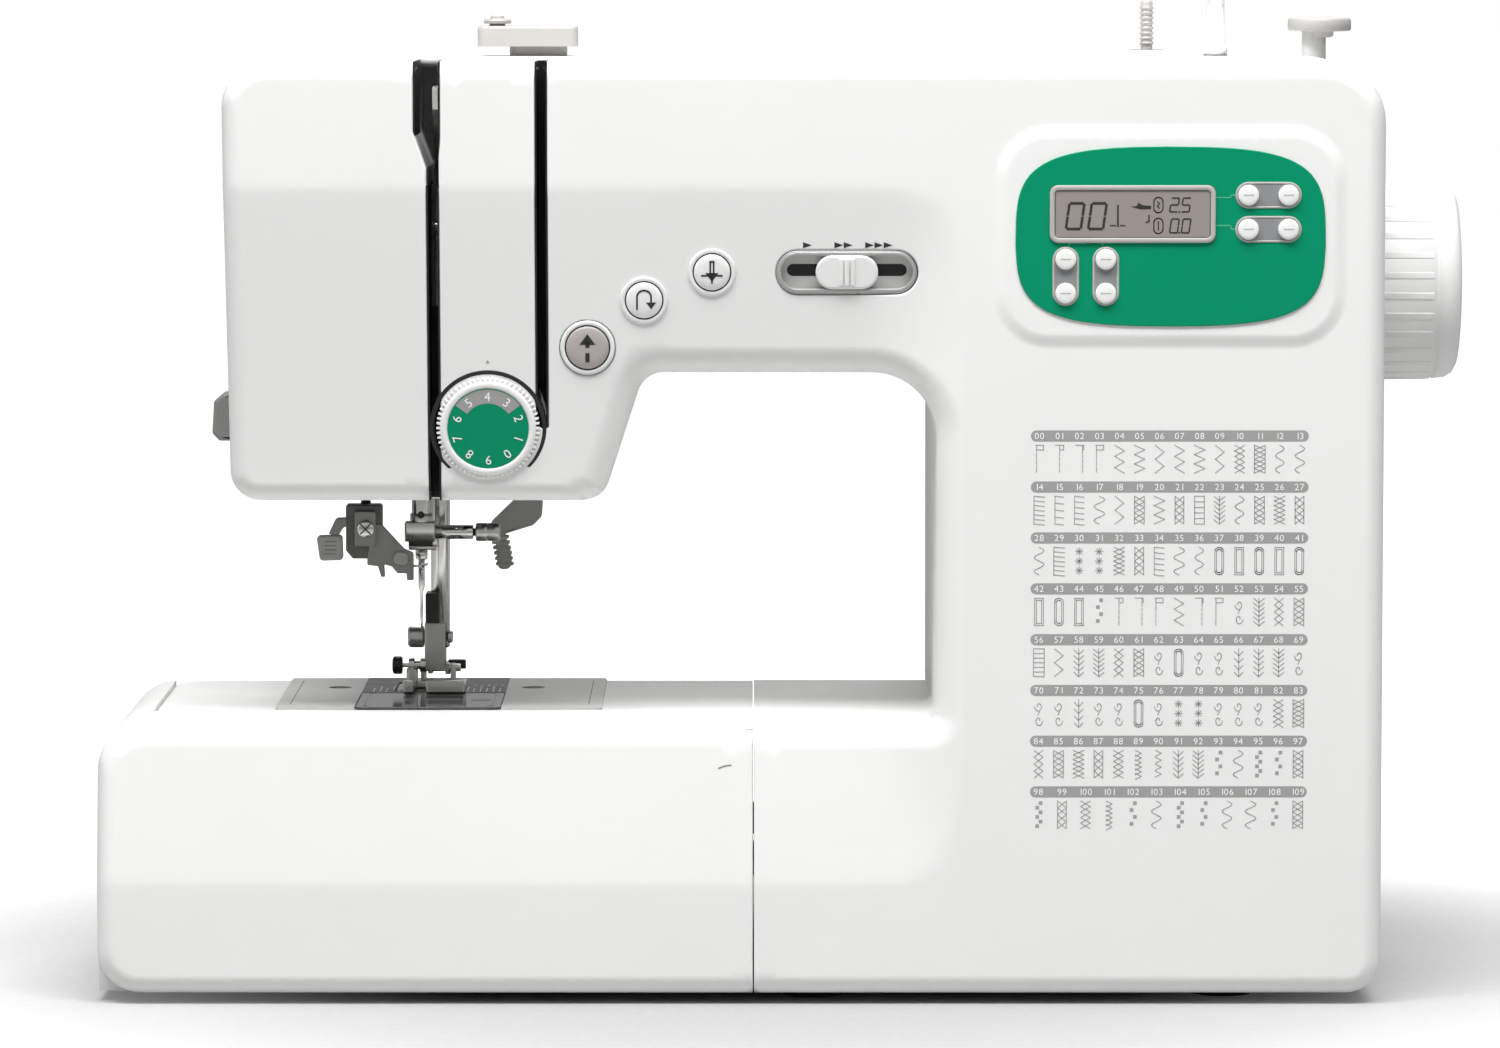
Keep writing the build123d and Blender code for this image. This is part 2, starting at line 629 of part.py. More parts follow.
sole_bottom = bed_top + 1.3
with BuildPart() as presser_foot:
    add(block(-118.0, -99.0, -14, 17.5, sole_bottom, sole_bottom + 2))
    add(block(holder_left - 2, holder_left - 0.3, 13.5, 18.5, sole_bottom + 1, 93.6))
    add(block(holder_right + 0.3, holder_right + 2, 13.5, 18.5, sole_bottom + 1, 93.6))
    add(cylinder_x(foot_pivot_y, foot_pivot_z, 1.0, holder_left - 2, holder_right + 2))
    add(block(needle_x - 3.8, needle_x + 3.8, needle_y - 3, needle_y + 2.4, sole_bottom - 1, sole_bottom + 3),
        mode=Mode.SUBTRACT)
    add(block(needle_x - 0.8, needle_x + 0.8, -15, needle_y, sole_bottom - 1, sole_bottom + 3),
        mode=Mode.SUBTRACT)
    toe_edges = presser_foot.edges().filter_by(Axis.Z).group_by(Axis.Y)[0]
    fillet(toe_edges.sort_by(Axis.X)[0], 3.0)
    add(cylinder_x(9.5, 91.5, 2.2, -121.5, -117))
    add(block(-118, -116, 6.5, 12.5, sole_bottom + 1, 93))
save(presser_foot.part, "presser_foot")

lifter_x = -76.0
lifter_z = 160.0
with BuildPart() as presser_lifter:
    with BuildSketch(plane_y(arm_back + 7)):
        with BuildLine():
            Polyline(
                (lifter_x - 5, lifter_z + 5),
                (lifter_x + 5, lifter_z + 5),
                (lifter_x + 0.6, lifter_z - 20),
                (lifter_x - 9, lifter_z - 40.5),
                (lifter_x - 12, lifter_z - 40.5),
                (lifter_x - 15, lifter_z - 29),
                (lifter_x - 9.4, lifter_z - 20),
                close=True,
            )
        make_face()
    extrude(amount=6)
    add(cylinder_y(lifter_x, lifter_z, 3.0 - slide_fit, free_arm_back - 6, arm_back + 3))
save(presser_lifter.part, "presser_lifter")

# Needle threader
threader_x = -130.0
with BuildPart() as needle_threader:
    add(cylinder_z(threader_x, needle_y, 1.8, 140, 176))
    add(block(threader_x - 5, threader_x + 6, needle_y - 4, needle_y + 4, 127, 143))
    add(block(threader_x - 14, threader_x - 5, needle_y - 3, needle_y + 3, 127, 134))
    add(block(threader_x + 4, threader_x + 11, needle_y - 3.6, needle_y - 2.2, 120, 129))
    add(block(threader_x - 2, threader_x + 2, -13, needle_y + 2, 172, 176))
    add(block(body_left - 4, threader_x + 2, -13, -8, 172, 176))
    add(block(body_left - 8, body_left - 0.8, -16, -5, 164, 179))
    fillet(needle_threader.edges().filter_by(Axis.Z).group_by(Axis.X)[0], 1.5)
save(needle_threader.part, "needle_threader")

with BuildPart() as led_lamp:
    add(block(-82, -70, -16, -4, 151, 157))
save(led_lamp.part, "led_lamp")

# Tension dial
with BuildPart() as tension_ring:
    with BuildSketch(dial_plane.offset(-14)):
        Circle(dial_ring_radius - seat_fit)
    extrude(amount=14.3)
    with BuildSketch(dial_plane.offset(-12)):
        Circle(dial_radius + 0.4)
    extrude(amount=14, mode=Mode.SUBTRACT)
save(tension_ring.part, "tension_ring")

with BuildPart() as tension_dial:
    with BuildSketch(dial_plane.offset(-11.7)):
        Circle(dial_radius)
        with PolarLocations(dial_radius + 0.5, 40):
            Circle(0.9, mode=Mode.SUBTRACT)
    extrude(amount=13.1)
    with BuildSketch(dial_plane.offset(1.0)):
        Circle(dial_radius - 3.1)
    extrude(amount=2, mode=Mode.SUBTRACT)
save(tension_dial.part, "tension_dial")

# Black lining of the thread slots
with BuildPart() as thread_channel:
    add(block(slot_left_x - slot_width / 2 + seat_fit, slot_left_x + slot_width / 2 - seat_fit, front_y + 0.3,
              front_y + 25.9, head_underside + 0.4, body_top - 0.4))
    add(block(slot_wide_x - slot_wide_width / 2 + seat_fit, slot_wide_x + slot_wide_width / 2 - seat_fit,
              front_y + 0.3, front_y + 39.9, crease_top + 0.1, body_top - 0.4))
    add(block(slot_right_x - slot_width / 2 + seat_fit, slot_right_x + slot_width / 2 - seat_fit,
              front_y + 0.3, front_y + 25.9, dial_z + 0.1, body_top - 0.4))
    add(block(slot_left_x - slot_width / 2 + 0.5, slot_left_x + slot_width / 2 - 0.5, front_y - 1,
              front_y + 25.2, head_underside - 1, body_top + 1), mode=Mode.SUBTRACT)
    add(block(slot_wide_x - slot_wide_width / 2 + 0.5, slot_wide_x + slot_wide_width / 2 - 0.5, front_y - 1,
              front_y + 41, crease_top + 0.6, body_top + 1), mode=Mode.SUBTRACT)
    add(block(slot_right_x - slot_width / 2 + 0.5, slot_right_x + slot_width / 2 - 0.5, front_y - 1,
              front_y + 25.2, dial_z - 1, body_top + 1), mode=Mode.SUBTRACT)
    add(block(slot_left_x - slot_width / 2 + 0.5, slot_left_x + slot_width / 2 - 0.5, front_y + 20,
              front_y + 41, lever_pivot_z - 22, body_top + 1), mode=Mode.SUBTRACT)
    add(slope_cut.part, mode=Mode.SUBTRACT)
    with BuildSketch(dial_plane.offset(-23)):
        Circle(dial_ring_radius + 0.05)
    extrude(amount=30, mode=Mode.SUBTRACT)
save(thread_channel.part, "thread_channel")

# Push buttons and speed slider
button_spots = (
    (start_x, start_z, start_radius, 1.8, "start_stop_button"),
    (reverse_x, reverse_z, reverse_radius, 1.2, "reverse_button"),
    (needle_button_x, needle_button_z, reverse_radius, 1.2, "needle_position_button"),
)
with BuildPart() as button_rings:
    for spot_x, spot_z, radius, rim, label in button_spots:
        face_y = surface_y(spot_z)
        add(cylinder_y(spot_x, spot_z, radius + rim - seat_fit, face_y - 0.8, face_y + 8))
        add(cylinder_y(spot_x, spot_z, radius + 0.1, face_y - 2, face_y + 9), mode=Mode.SUBTRACT)
save(button_rings.part, "button_rings")

for spot_x, spot_z, radius, rim, label in button_spots:
    face_y = surface_y(spot_z)
    with BuildPart() as button:
        add(cylinder_y(spot_x, spot_z, radius, face_y - 2.0, face_y + 7))
        fillet(button.faces().sort_by(Axis.Y)[0].edges(), 0.6)
    save(button.part, label)

slider_y = surface_y(slider_z)
with BuildPart() as slider_frame:
    with BuildSketch(plane_y(slider_y + 7)):
        with Locations((slider_x, slider_z)):
            RectangleRounded(slider_length + 3.36, slider_height + 2.76, 2.58)
    extrude(amount=7.6)
    with BuildSketch(plane_y(slider_y + 5)):
        with Locations((slider_x, slider_z)):
            RectangleRounded(slider_length, slider_height, 1.2)
    extrude(amount=10, mode=Mode.SUBTRACT)
save(slider_frame.part, "slider_frame")

with BuildPart() as speed_slider:
    with BuildSketch(plane_y(slider_y + 4.7)):
        with Locations((slider_x, slider_z)):
            RectangleRounded(knob_length, slider_height - 0.2, 1.2)
    extrude(amount=5.7)
    add(block(slider_x - 0.9, slider_x + 0.9, slider_y - 2.2, slider_y, slider_z - 4.4, slider_z + 4.4))
save(speed_slider.part, "speed_slider")

# Control panel, keys, display and board
key_spots = (
    (136.8, 242.2),
    (148.7, 242.2),
    (136.8, 232.1),
    (148.7, 232.1),
    (82.7, 223.2),
    (94.6, 223.2),
    (82.7, 213.1),
    (94.6, 213.1),
)
panel_front = front_y - 1.5
with BuildPart() as control_panel:
    with BuildSketch(plane_y(front_y)):
        with Locations((panel_x, panel_z)):
            RectangleRounded(panel_width, panel_height, 11.0)
    extrude(amount=front_y - panel_front)
    fillet(control_panel.faces().sort_by(Axis.Y)[0].edges(), 0.8)
    add(block(lcd_x - lcd_width / 2 - seat_fit, lcd_x + lcd_width / 2 + seat_fit, panel_front - 1, front_y + 1,
              lcd_z - lcd_height / 2 - seat_fit, lcd_z + lcd_height / 2 + seat_fit), mode=Mode.SUBTRACT)
    for key_x, key_z in key_spots:
        add(cylinder_y(key_x, key_z, key_radius + 0.15, panel_front - 1, front_y + 1), mode=Mode.SUBTRACT)
save(control_panel.part, "control_panel")

with BuildPart() as lcd_module:
    add(block(lcd_x - lcd_width / 2, lcd_x + lcd_width / 2, panel_front + 0.3, front_y + 5,
              lcd_z - lcd_height / 2, lcd_z + lcd_height / 2))
save(lcd_module.part, "lcd_module")

for number, (key_x, key_z) in enumerate(key_spots, start=1):
    with BuildPart() as panel_key:
        add(cylinder_y(key_x, key_z, key_radius, panel_front - 0.5, front_y + 6))
        fillet(panel_key.faces().sort_by(Axis.Y)[0].edges(), 0.3)
    save(panel_key.part, "panel_key_" + str(number))

with BuildPart() as main_board:
    add(block(74, 154, front_y + 7.2, front_y + 8.8, panel_z - 25, panel_z + 24))
save(main_board.part, "main_board")

# Fittings on the top
with BuildPart() as top_thread_guide:
    add(cylinder_z(guide_block_x, top_y, 2.0 - seat_fit, body_top - 6, body_top + 1))
    add(block(guide_block_x - 4.5, guide_block_x + 5.4, -5, 5, body_top, body_top + 3.2))
    add(block(guide_block_x - 15.2, guide_block_x + 15.2, -12, 6, body_top + 3, body_top + 9.2))
    fillet(top_thread_guide.edges().filter_by(Axis.Z).group_by(Axis.X)[0], 2.0)
    add(cylinder_z(-88.5, -3, 4.3, body_top + 9, body_top + 12.3))
save(top_thread_guide.part, "top_thread_guide")

with BuildPart() as spool_pin_base:
    add(cylinder_z(spool_x, top_y, 6.8, body_top, body_top + 1.8))
    add(cylinder_z(spool_x, top_y, 3.5 - seat_fit, body_top - 4, body_top + 0.5))
    add(cylinder_z(spool_x, top_y, spool_pin_radius + slide_fit, body_top - 5, body_top + 3), mode=Mode.SUBTRACT)
save(spool_pin_base.part, "spool_pin_base")

with BuildPart() as spool_pin:
    add(cylinder_z(spool_x, top_y, spool_pin_radius, body_top - 38, body_top + 17.2))
    fillet(spool_pin.faces().sort_by(Axis.Z)[-1].edges(), 0.8)
save(spool_pin.part, "spool_pin")

with BuildPart() as bobbin_winder:
    add(block(winder_x - 8, winder_x + 8, -7, 7, body_top - 9, body_top - 3.2))
    add(cylinder_z(winder_x, top_y, 3.7, body_top - 5, body_top + 7))
    add(cylinder_z(winder_x, top_y, 2.75, body_top + 6, body_top + 25))
    fillet(bobbin_winder.faces().sort_by(Axis.Z)[-1].edges(), 0.8)
    with Locations((winder_x, top_y, body_top + 20)):
        Box(0.9, 8, 12, mode=Mode.SUBTRACT)
save(bobbin_winder.part, "bobbin_winder")

with BuildPart() as bobbin_stop:
    add(cylinder_z(winder_post_x, top_y, 2.0 - seat_fit, body_top - 6, body_top + 1))
    add(cylinder_z(winder_post_x, top_y, 3.7, body_top, body_top + 8))
    add(cylinder_z(winder_post_x + 1.7, top_y, 9.7, body_top + 7.6, body_top + 11.9))
save(bobbin_stop.part, "bobbin_stop")

# Side sockets and switch
with BuildPart() as side_sockets:
    add(block(157, 159.5, -16, 36, 44, 112))
    add(block(159, body_right + 1.2, 7 + seat_fit, 33 - seat_fit, 48 + seat_fit, 68 - seat_fit))
    add(block(162, body_right + 2, 10, 30, 51, 65), mode=Mode.SUBTRACT)
    add(cylinder_x(15, 58, 1.2, 160, body_right - 2))
    add(cylinder_x(25, 58, 1.2, 160, body_right - 2))
    add(cylinder_x(-8, 58, 5.0 - seat_fit, 159, body_right + 1))
    add(cylinder_x(-8, 58, 2.2, 162, body_right + 2), mode=Mode.SUBTRACT)
    add(block(159, body_right + 1.2, 9 + seat_fit, 31 - seat_fit, 86 + seat_fit, 108 - seat_fit))
    add(block(162, body_right + 2, 11, 29, 88, 106), mode=Mode.SUBTRACT)
    add(cylinder_y(172, 97, 1.2 + slide_fit, 9.6, 30.4), mode=Mode.SUBTRACT)
save(side_sockets.part, "side_sockets")

with BuildPart() as power_switch:
    add(block(167, body_right + 2, 11.3, 28.7, 89.6, 104.4))
    add(cylinder_y(172, 97, 1.2, 9.8, 30.2))
save(power_switch.part, "power_switch")

# Folding carry handle on the rear
handle_left = -116.0
handle_right = 26.0
handle_y = 57.0
handle_z = 263.0
with BuildPart() as handle_brackets:
    for low_x in (handle_left - 8, handle_right):
        add(block(low_x, low_x + 8, arm_back, handle_y + 5, handle_z - 7, handle_z + 7))
    add(cylinder_x(handle_y, handle_z, 3.0 + slide_fit, handle_left - 7, handle_right + 7), mode=Mode.SUBTRACT)
save(handle_brackets.part, "handle_brackets")

with BuildPart() as carry_handle:
    with BuildSketch(Plane.YZ.offset(handle_left + part_gap)):
        with BuildLine():
            Polyline(
                (53, handle_z + 5),
                (61, handle_z + 5),
                (89.5, 242),
                (89.5, 224),
                (73, 224),
                (53, handle_z - 6),
                close=True,
            )
        make_face()
    extrude(amount=handle_right - handle_left - 2 * part_gap)
    add(block(handle_left + 10, handle_right - 10, 40, 73.2, 218, handle_z + 8), mode=Mode.SUBTRACT)
    add(block(handle_left + 10, handle_right - 10, 50, 95, 243, handle_z + 8), mode=Mode.SUBTRACT)
    add(cylinder_x(handle_y, handle_z, 3.0, handle_left - 6.5, handle_left + 1))
    add(cylinder_x(handle_y, handle_z, 3.0, handle_right - 1, handle_right + 6.5))
save(carry_handle.part, "carry_handle")

# Removable flat bed with its storage compartment
box_front = -77.6
door_back = -79.0
lip_back = -72.6
lip_wall = 2.0
lip_foot = 30.0
hinge_y = -81.5
hinge_z = base_z + 2.5
pin_radius = 1.2
lug_width = 4.0
lug_spots = (-186.0, -34.0)


def bed_profile(inset):
    """Front outline of the removable bed."""
    with BuildSketch() as outline:
        with BuildLine():
            Polyline(
                (bed_left, base_z),
                (seam_x - part_gap, base_z),
                (seam_x - part_gap, bed_top),
                (bed_left, bed_top),
                close=True,
            )
        make_face()
        left = outline.vertices().group_by(Axis.X)[0].sort_by(Axis.Y)
        fillet(left[1], 15.0)
        fillet(left[0], 13.0)
        if inset > 0:
            offset(amount=-inset, mode=Mode.REPLACE)
    return outline.sketch


# Rebate round the front of the bed, where the door's top and left lip sit
with BuildPart() as lip_seat:
    with BuildSketch(plane_y(lip_back + part_gap)):
        add(bed_profile(0))
    extrude(amount=lip_back + part_gap - box_front + 1)
    with BuildSketch(plane_y(lip_back + part_gap + 1)):
        add(bed_profile(lip_wall + part_gap))
    extrude(amount=20, mode=Mode.SUBTRACT)
    add(block(bed_left - 1, seam_x + 1, box_front - 2, lip_back + 2, base_z - 1, lip_foot - part_gap),
        mode=Mode.SUBTRACT)
    add(block(seam_x - 20, seam_x + 1, box_front - 2, lip_back + 2, base_z - 1, bed_top - lip_wall - part_gap),
        mode=Mode.SUBTRACT)

with BuildPart() as flat_bed:
    with BuildSketch(plane_y(free_arm_back)):
        add(bed_profile(0))
    extrude(amount=free_arm_back - box_front)
    add(block(free_arm_left - 0.4, seam_x + 1, free_arm_front - part_gap, free_arm_back + 1, 0, bed_top + 2),
        mode=Mode.SUBTRACT)
    with BuildSketch(plane_y(free_arm_front - 3)):
        add(bed_profile(wall + 1.8))
    extrude(amount=40, mode=Mode.SUBTRACT)
    add(lip_seat.part, mode=Mode.SUBTRACT)
    for lug_x in lug_spots:
        add(block(lug_x, lug_x + lug_width, hinge_y, box_front + 1, hinge_z - 2.3, hinge_z + 2.3))
        add(cylinder_x(hinge_y, hinge_z, 2.3, lug_x, lug_x + lug_width))
        add(cylinder_x(hinge_y, hinge_z, pin_radius + slide_fit, lug_x - 1, lug_x + lug_width + 1),
            mode=Mode.SUBTRACT)
save(flat_bed.part, "flat_bed")

with BuildPart() as storage_door:
    with BuildSketch(plane_y(lip_back)):
        add(bed_profile(0))
    extrude(amount=lip_back - front_y)
    fillet(storage_door.faces().sort_by(Axis.Y)[0].edges(), 6.0)
    add(slope_cut.part, mode=Mode.SUBTRACT)
    with BuildSketch(plane_y(lip_back + 1)):
        add(bed_profile(lip_wall))
    extrude(amount=lip_back + 1 - door_back, mode=Mode.SUBTRACT)
    add(block(bed_left - 1, seam_x + 1, door_back, lip_back + 1, base_z - 1, lip_foot), mode=Mode.SUBTRACT)
    add(block(seam_x - 20, seam_x + 1, door_back, lip_back + 1, base_z - 1, bed_top - lip_wall), mode=Mode.SUBTRACT)
    for lug_x in lug_spots:
        add(block(lug_x - part_gap, lug_x + lug_width + part_gap, hinge_y - 2.7, door_back + 1,
                  base_z - 1, hinge_z + 2.7), mode=Mode.SUBTRACT)
        add(cylinder_x(hinge_y, hinge_z, pin_radius, lug_x - 1, lug_x + lug_width + 1))
save(storage_door.part, "storage_door")
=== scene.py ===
"""Household sewing machine: finished surfaces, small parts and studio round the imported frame."""
from __future__ import annotations

import logging
import math
from dataclasses import dataclass
from enum import Enum
from typing import Any, Callable, Iterable, Sequence

import bmesh
import bpy
import numpy as np
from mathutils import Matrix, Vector
from mathutils.geometry import delaunay_2d_cdt, tessellate_polygon


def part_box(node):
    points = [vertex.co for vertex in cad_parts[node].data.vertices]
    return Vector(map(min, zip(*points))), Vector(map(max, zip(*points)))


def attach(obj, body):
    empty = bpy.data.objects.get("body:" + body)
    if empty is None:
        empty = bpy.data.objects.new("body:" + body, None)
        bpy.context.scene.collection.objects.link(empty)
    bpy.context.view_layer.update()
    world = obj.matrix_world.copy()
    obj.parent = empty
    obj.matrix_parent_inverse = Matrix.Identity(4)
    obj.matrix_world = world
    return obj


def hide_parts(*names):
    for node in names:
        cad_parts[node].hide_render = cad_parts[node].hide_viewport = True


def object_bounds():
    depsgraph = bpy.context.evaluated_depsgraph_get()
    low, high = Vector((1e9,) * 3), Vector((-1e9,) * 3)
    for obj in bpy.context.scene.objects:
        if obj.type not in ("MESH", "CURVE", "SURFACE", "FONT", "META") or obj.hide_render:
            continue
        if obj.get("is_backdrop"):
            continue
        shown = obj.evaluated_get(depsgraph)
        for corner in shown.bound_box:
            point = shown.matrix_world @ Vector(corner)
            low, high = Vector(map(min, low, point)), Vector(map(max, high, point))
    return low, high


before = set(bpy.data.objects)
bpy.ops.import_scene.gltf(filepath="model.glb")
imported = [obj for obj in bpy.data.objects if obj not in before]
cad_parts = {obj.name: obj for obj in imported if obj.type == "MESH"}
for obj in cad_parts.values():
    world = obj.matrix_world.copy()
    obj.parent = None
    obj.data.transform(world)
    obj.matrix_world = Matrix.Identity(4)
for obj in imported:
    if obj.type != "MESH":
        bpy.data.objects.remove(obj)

LOG = logging.getLogger("sewing_machine")
MM = 0.001
Point2 = tuple[float, float]
Point3 = tuple[float, float, float]
Corner = tuple[float, float, float]
To3 = Callable[[float, float, float], Point3]
Piece = bpy.types.Object
Node = bpy.types.Node
Socket = bpy.types.NodeSocket
Tree = bpy.types.NodeTree
COLOUR_DRIFT_MM = 45
GLOSS_DRIFT_MM = 6
BUMP_MM = 0.1
COAT_ROUGHNESS = 0.08


# ---- node helpers
def linear(hex_colour: str, alpha: float = 1.0) -> tuple[float, float, float, float]:
    """Turn an sRGB hex value into linear RGBA.

    Args:
        hex_colour: colour such as "#F2F2F0".
        alpha: opacity put in the fourth channel.

    Returns:
        Linear red, green, blue and alpha.
    """
    channels = [int(hex_colour[i:i + 2], 16) / 255 for i in (1, 3, 5)]
    out = [c / 12.92 if c <= 0.04045 else ((c + 0.055) / 1.055) ** 2.4 for c in channels]
    return out[0], out[1], out[2], alpha


def add_node(tree: Tree, kind: str, values: dict[Any, Any] | None = None,
             **settings: Any) -> Node:
    """Add one node, set its properties and fill or link its inputs.

    Args:
        tree: node tree that receives the node.
        kind: Blender's type name of the node.
        values: input name or index to a constant, or to an output socket to link.
        settings: node properties to set first.

    Returns:
        The new node.
    """
    node = tree.nodes.new(kind)
    for key, value in settings.items():
        setattr(node, key, value)
    for key, value in (values or {}).items():
        if isinstance(value, Socket):
            tree.links.new(value, node.inputs[key])
        else:
            node.inputs[key].default_value = value
    return node


# ---- finishes
class Grain(Enum):
    """How a surface's fine relief was made."""

    MOULDED = "moulded"
    SPARK = "spark eroded"
    TURNED = "turned"
    BRUSHED = "brushed"
    CAST = "cast"


@dataclass(frozen=True)
class Finish:
    """One real finish, built as a procedural material.

    Roughness and colour drift over centimetres as they do on moulded parts, and the relief has a real size.
    """

    name: str
    colour: str
    roughness: float
    metallic: float = 0.0
    grain: Grain = Grain.MOULDED
    grain_mm: float = 0.6
    relief: float = 0.03
    coat: float = 0.0
    ior: float = 1.46
    transmission: float = 0.0
    drift: float = 0.03
    emission: float = 0.0
    specular: float = 0.5

    def material(self) -> bpy.types.Material:
        """Return the material, making it on first use."""
        made = bpy.data.materials.get(self.name)
        if made is not None:
            return made
        made = bpy.data.materials.new(self.name)
        made.use_nodes = True
        tree = made.node_tree
        tree.nodes.clear()
        place = add_node(tree, "ShaderNodeTexCoord").outputs["Object"]
        shader = add_node(tree, "ShaderNodeBsdfPrincipled")
        out = add_node(tree, "ShaderNodeOutputMaterial", {"Surface": shader.outputs["BSDF"]})
        out.location = (400, 0)
        self._colour(tree, place, shader)
        self._relief(tree, place, shader)
        shader.inputs["Metallic"].default_value = self.metallic
        if self.metallic == 0.0:
            shader.inputs["IOR"].default_value = self.ior
        shader.inputs["Specular IOR Level"].default_value = self.specular
        shader.inputs["Coat Weight"].default_value = self.coat
        shader.inputs["Coat Roughness"].default_value = COAT_ROUGHNESS
        shader.inputs["Transmission Weight"].default_value = self.transmission
        if self.emission > 0.0:
            shader.inputs["Emission Color"].default_value = linear(self.colour)
            shader.inputs["Emission Strength"].default_value = self.emission
        return made

    def _colour(self, tree: Tree, place: Socket, shader: Node) -> None:
        """Base colour with a slow drift, and roughness with a finer one.

        Args:
            tree: the material's nodes.
            place: object coordinates.
            shader: shader that receives the colour and the roughness.
        """
        slow = add_node(tree, "ShaderNodeTexNoise", {"Vector": place, "Scale": 1 / (COLOUR_DRIFT_MM * MM),
                                                     "Detail": 3.0})
        ramp = add_node(tree, "ShaderNodeMapRange", {0: slow.outputs["Fac"], 1: 0.3, 2: 0.7,
                                                     3: 1.0 - self.drift, 4: 1.0 + self.drift * 0.3})
        base = linear(self.colour)
        tint = add_node(tree, "ShaderNodeVectorMath", {0: base[:3], "Scale": ramp.outputs[0]}, operation="SCALE")
        tree.links.new(tint.outputs[0], shader.inputs["Base Color"])
        fine = add_node(tree, "ShaderNodeTexNoise", {"Vector": place, "Scale": 1 / (GLOSS_DRIFT_MM * MM),
                                                     "Detail": 2.0})
        rough = add_node(tree, "ShaderNodeMapRange", {0: fine.outputs["Fac"], 1: 0.3, 2: 0.7,
                                                      3: self.roughness * 0.88, 4: min(1.0, self.roughness * 1.14)})
        tree.links.new(rough.outputs[0], shader.inputs["Roughness"])

    def _relief(self, tree: Tree, place: Socket, shader: Node) -> None:
        """Fine relief at the grain's real size.

        Args:
            tree: the material's nodes.
            place: object coordinates.
            shader: shader that receives the normal.
        """
        stretch = {Grain.TURNED: (0.05, 0.05, 1.0), Grain.BRUSHED: (0.06, 1.0, 1.0)}.get(self.grain, (1.0, 1.0, 1.0))
        mapped = add_node(tree, "ShaderNodeMapping", {"Vector": place, "Scale": stretch})
        scale = 1 / (self.grain_mm * MM)
        if self.grain in (Grain.SPARK, Grain.CAST):
            source = add_node(tree, "ShaderNodeTexVoronoi", {"Vector": mapped.outputs[0], "Scale": scale})
            height = source.outputs["Distance"]
        else:
            source = add_node(tree, "ShaderNodeTexNoise", {"Vector": mapped.outputs[0], "Scale": scale, "Detail": 2.0})
            height = source.outputs["Fac"]
        bump = add_node(tree, "ShaderNodeBump", {"Height": height, "Strength": self.relief, "Distance": BUMP_MM * MM})
        tree.links.new(bump.outputs[0], shader.inputs["Normal"])


# White ABS, injection moulded and polished: bright, slightly warm, with a soft broad gloss.
WHITE_ABS = Finish("white_abs_polished", "#F3F3F2", 0.4, relief=0.015, grain_mm=1.2, drift=0.012, specular=0.35)
# The same resin from a finer tool for small keys and knobs.
WHITE_KNOB = Finish("white_abs_knob", "#F4F4F3", 0.2, coat=0.2, relief=0.02, drift=0.01)
# Grey ABS with a spark-eroded tool surface: matt, even.
GREY_ABS = Finish("light_grey_abs", "#B9B7B4", 0.38, grain=Grain.SPARK, relief=0.05, drift=0.03)
PALE_GREY = Finish("pale_grey_abs", "#CFCFCD", 0.36, grain=Grain.SPARK, relief=0.04, drift=0.02)
SILVER_TRIM = Finish("silver_painted_trim", "#B4B4B3", 0.3, metallic=0.35, relief=0.02)
MID_GREY = Finish("mid_grey_nylon", "#868583", 0.42, grain=Grain.SPARK, relief=0.06)
DARK_GREY = Finish("dark_grey_nylon", "#5E5D5B", 0.42, grain=Grain.SPARK, relief=0.06)
BLACK_NYLON = Finish("black_nylon", "#1D1C1B", 0.45, grain=Grain.SPARK, relief=0.05)
# Near-black standing in for the shade inside deep, narrow slots: painted shade.
SLOT_SHADE_BLACK = Finish("black_painted_slot_shade", "#151413", 0.55, relief=0.04)
# Satin printed polyester film over the control panel.
GREEN_FILM = Finish("green_printed_film", "#009067", 0.45, relief=0.02, drift=0.015, specular=0.15)
GREEN_INK = Finish("green_dial_face", "#009067", 0.45, relief=0.02, drift=0.015, specular=0.15)
DISPLAY = Finish("liquid_crystal_cell", "#9B9390", 0.22, coat=0.3, relief=0.004, drift=0.01)
SEGMENT = Finish("display_segment", "#35322F", 0.35, relief=0.0, drift=0.01)
CHART_INK = Finish("grey_screen_ink", "#A3A3A2", 0.5, relief=0.01, drift=0.03)
WHITE_INK = Finish("white_screen_ink", "#FBFBFB", 0.5, relief=0.01, drift=0.01)
BLACK_INK = Finish("black_screen_ink", "#2B2A29", 0.5, relief=0.01, drift=0.03)
CHROME = Finish("chromed_steel", "#D2D1CE", 0.17, metallic=1.0, grain=Grain.TURNED, grain_mm=0.5, relief=0.02)
SATIN_STEEL = Finish("satin_steel", "#C2C1BE", 0.32, metallic=1.0, grain=Grain.BRUSHED, grain_mm=0.4, relief=0.05)
BLACK_OXIDE = Finish("blackened_steel", "#3A3937", 0.34, metallic=0.9, grain=Grain.BRUSHED, grain_mm=0.5, relief=0.04)
CAST_ALLOY = Finish("die_cast_alloy", "#9C9C9B", 0.5, metallic=0.9, grain=Grain.CAST, grain_mm=0.9, relief=0.15)
RUBBER = Finish("moulded_rubber", "#1B1B1A", 0.8, grain=Grain.SPARK, grain_mm=0.5, relief=0.1)
SOLDER_MASK = Finish("green_solder_mask", "#12402A", 0.35, relief=0.03, grain_mm=2.0)
CLEAR = Finish("clear_polystyrene", "#E9ECEC", 0.06, transmission=0.92, ior=1.49, relief=0.0, drift=0.0)
LAMP = Finish("lamp_diffuser", "#F4F6FA", 0.5, emission=0.4)


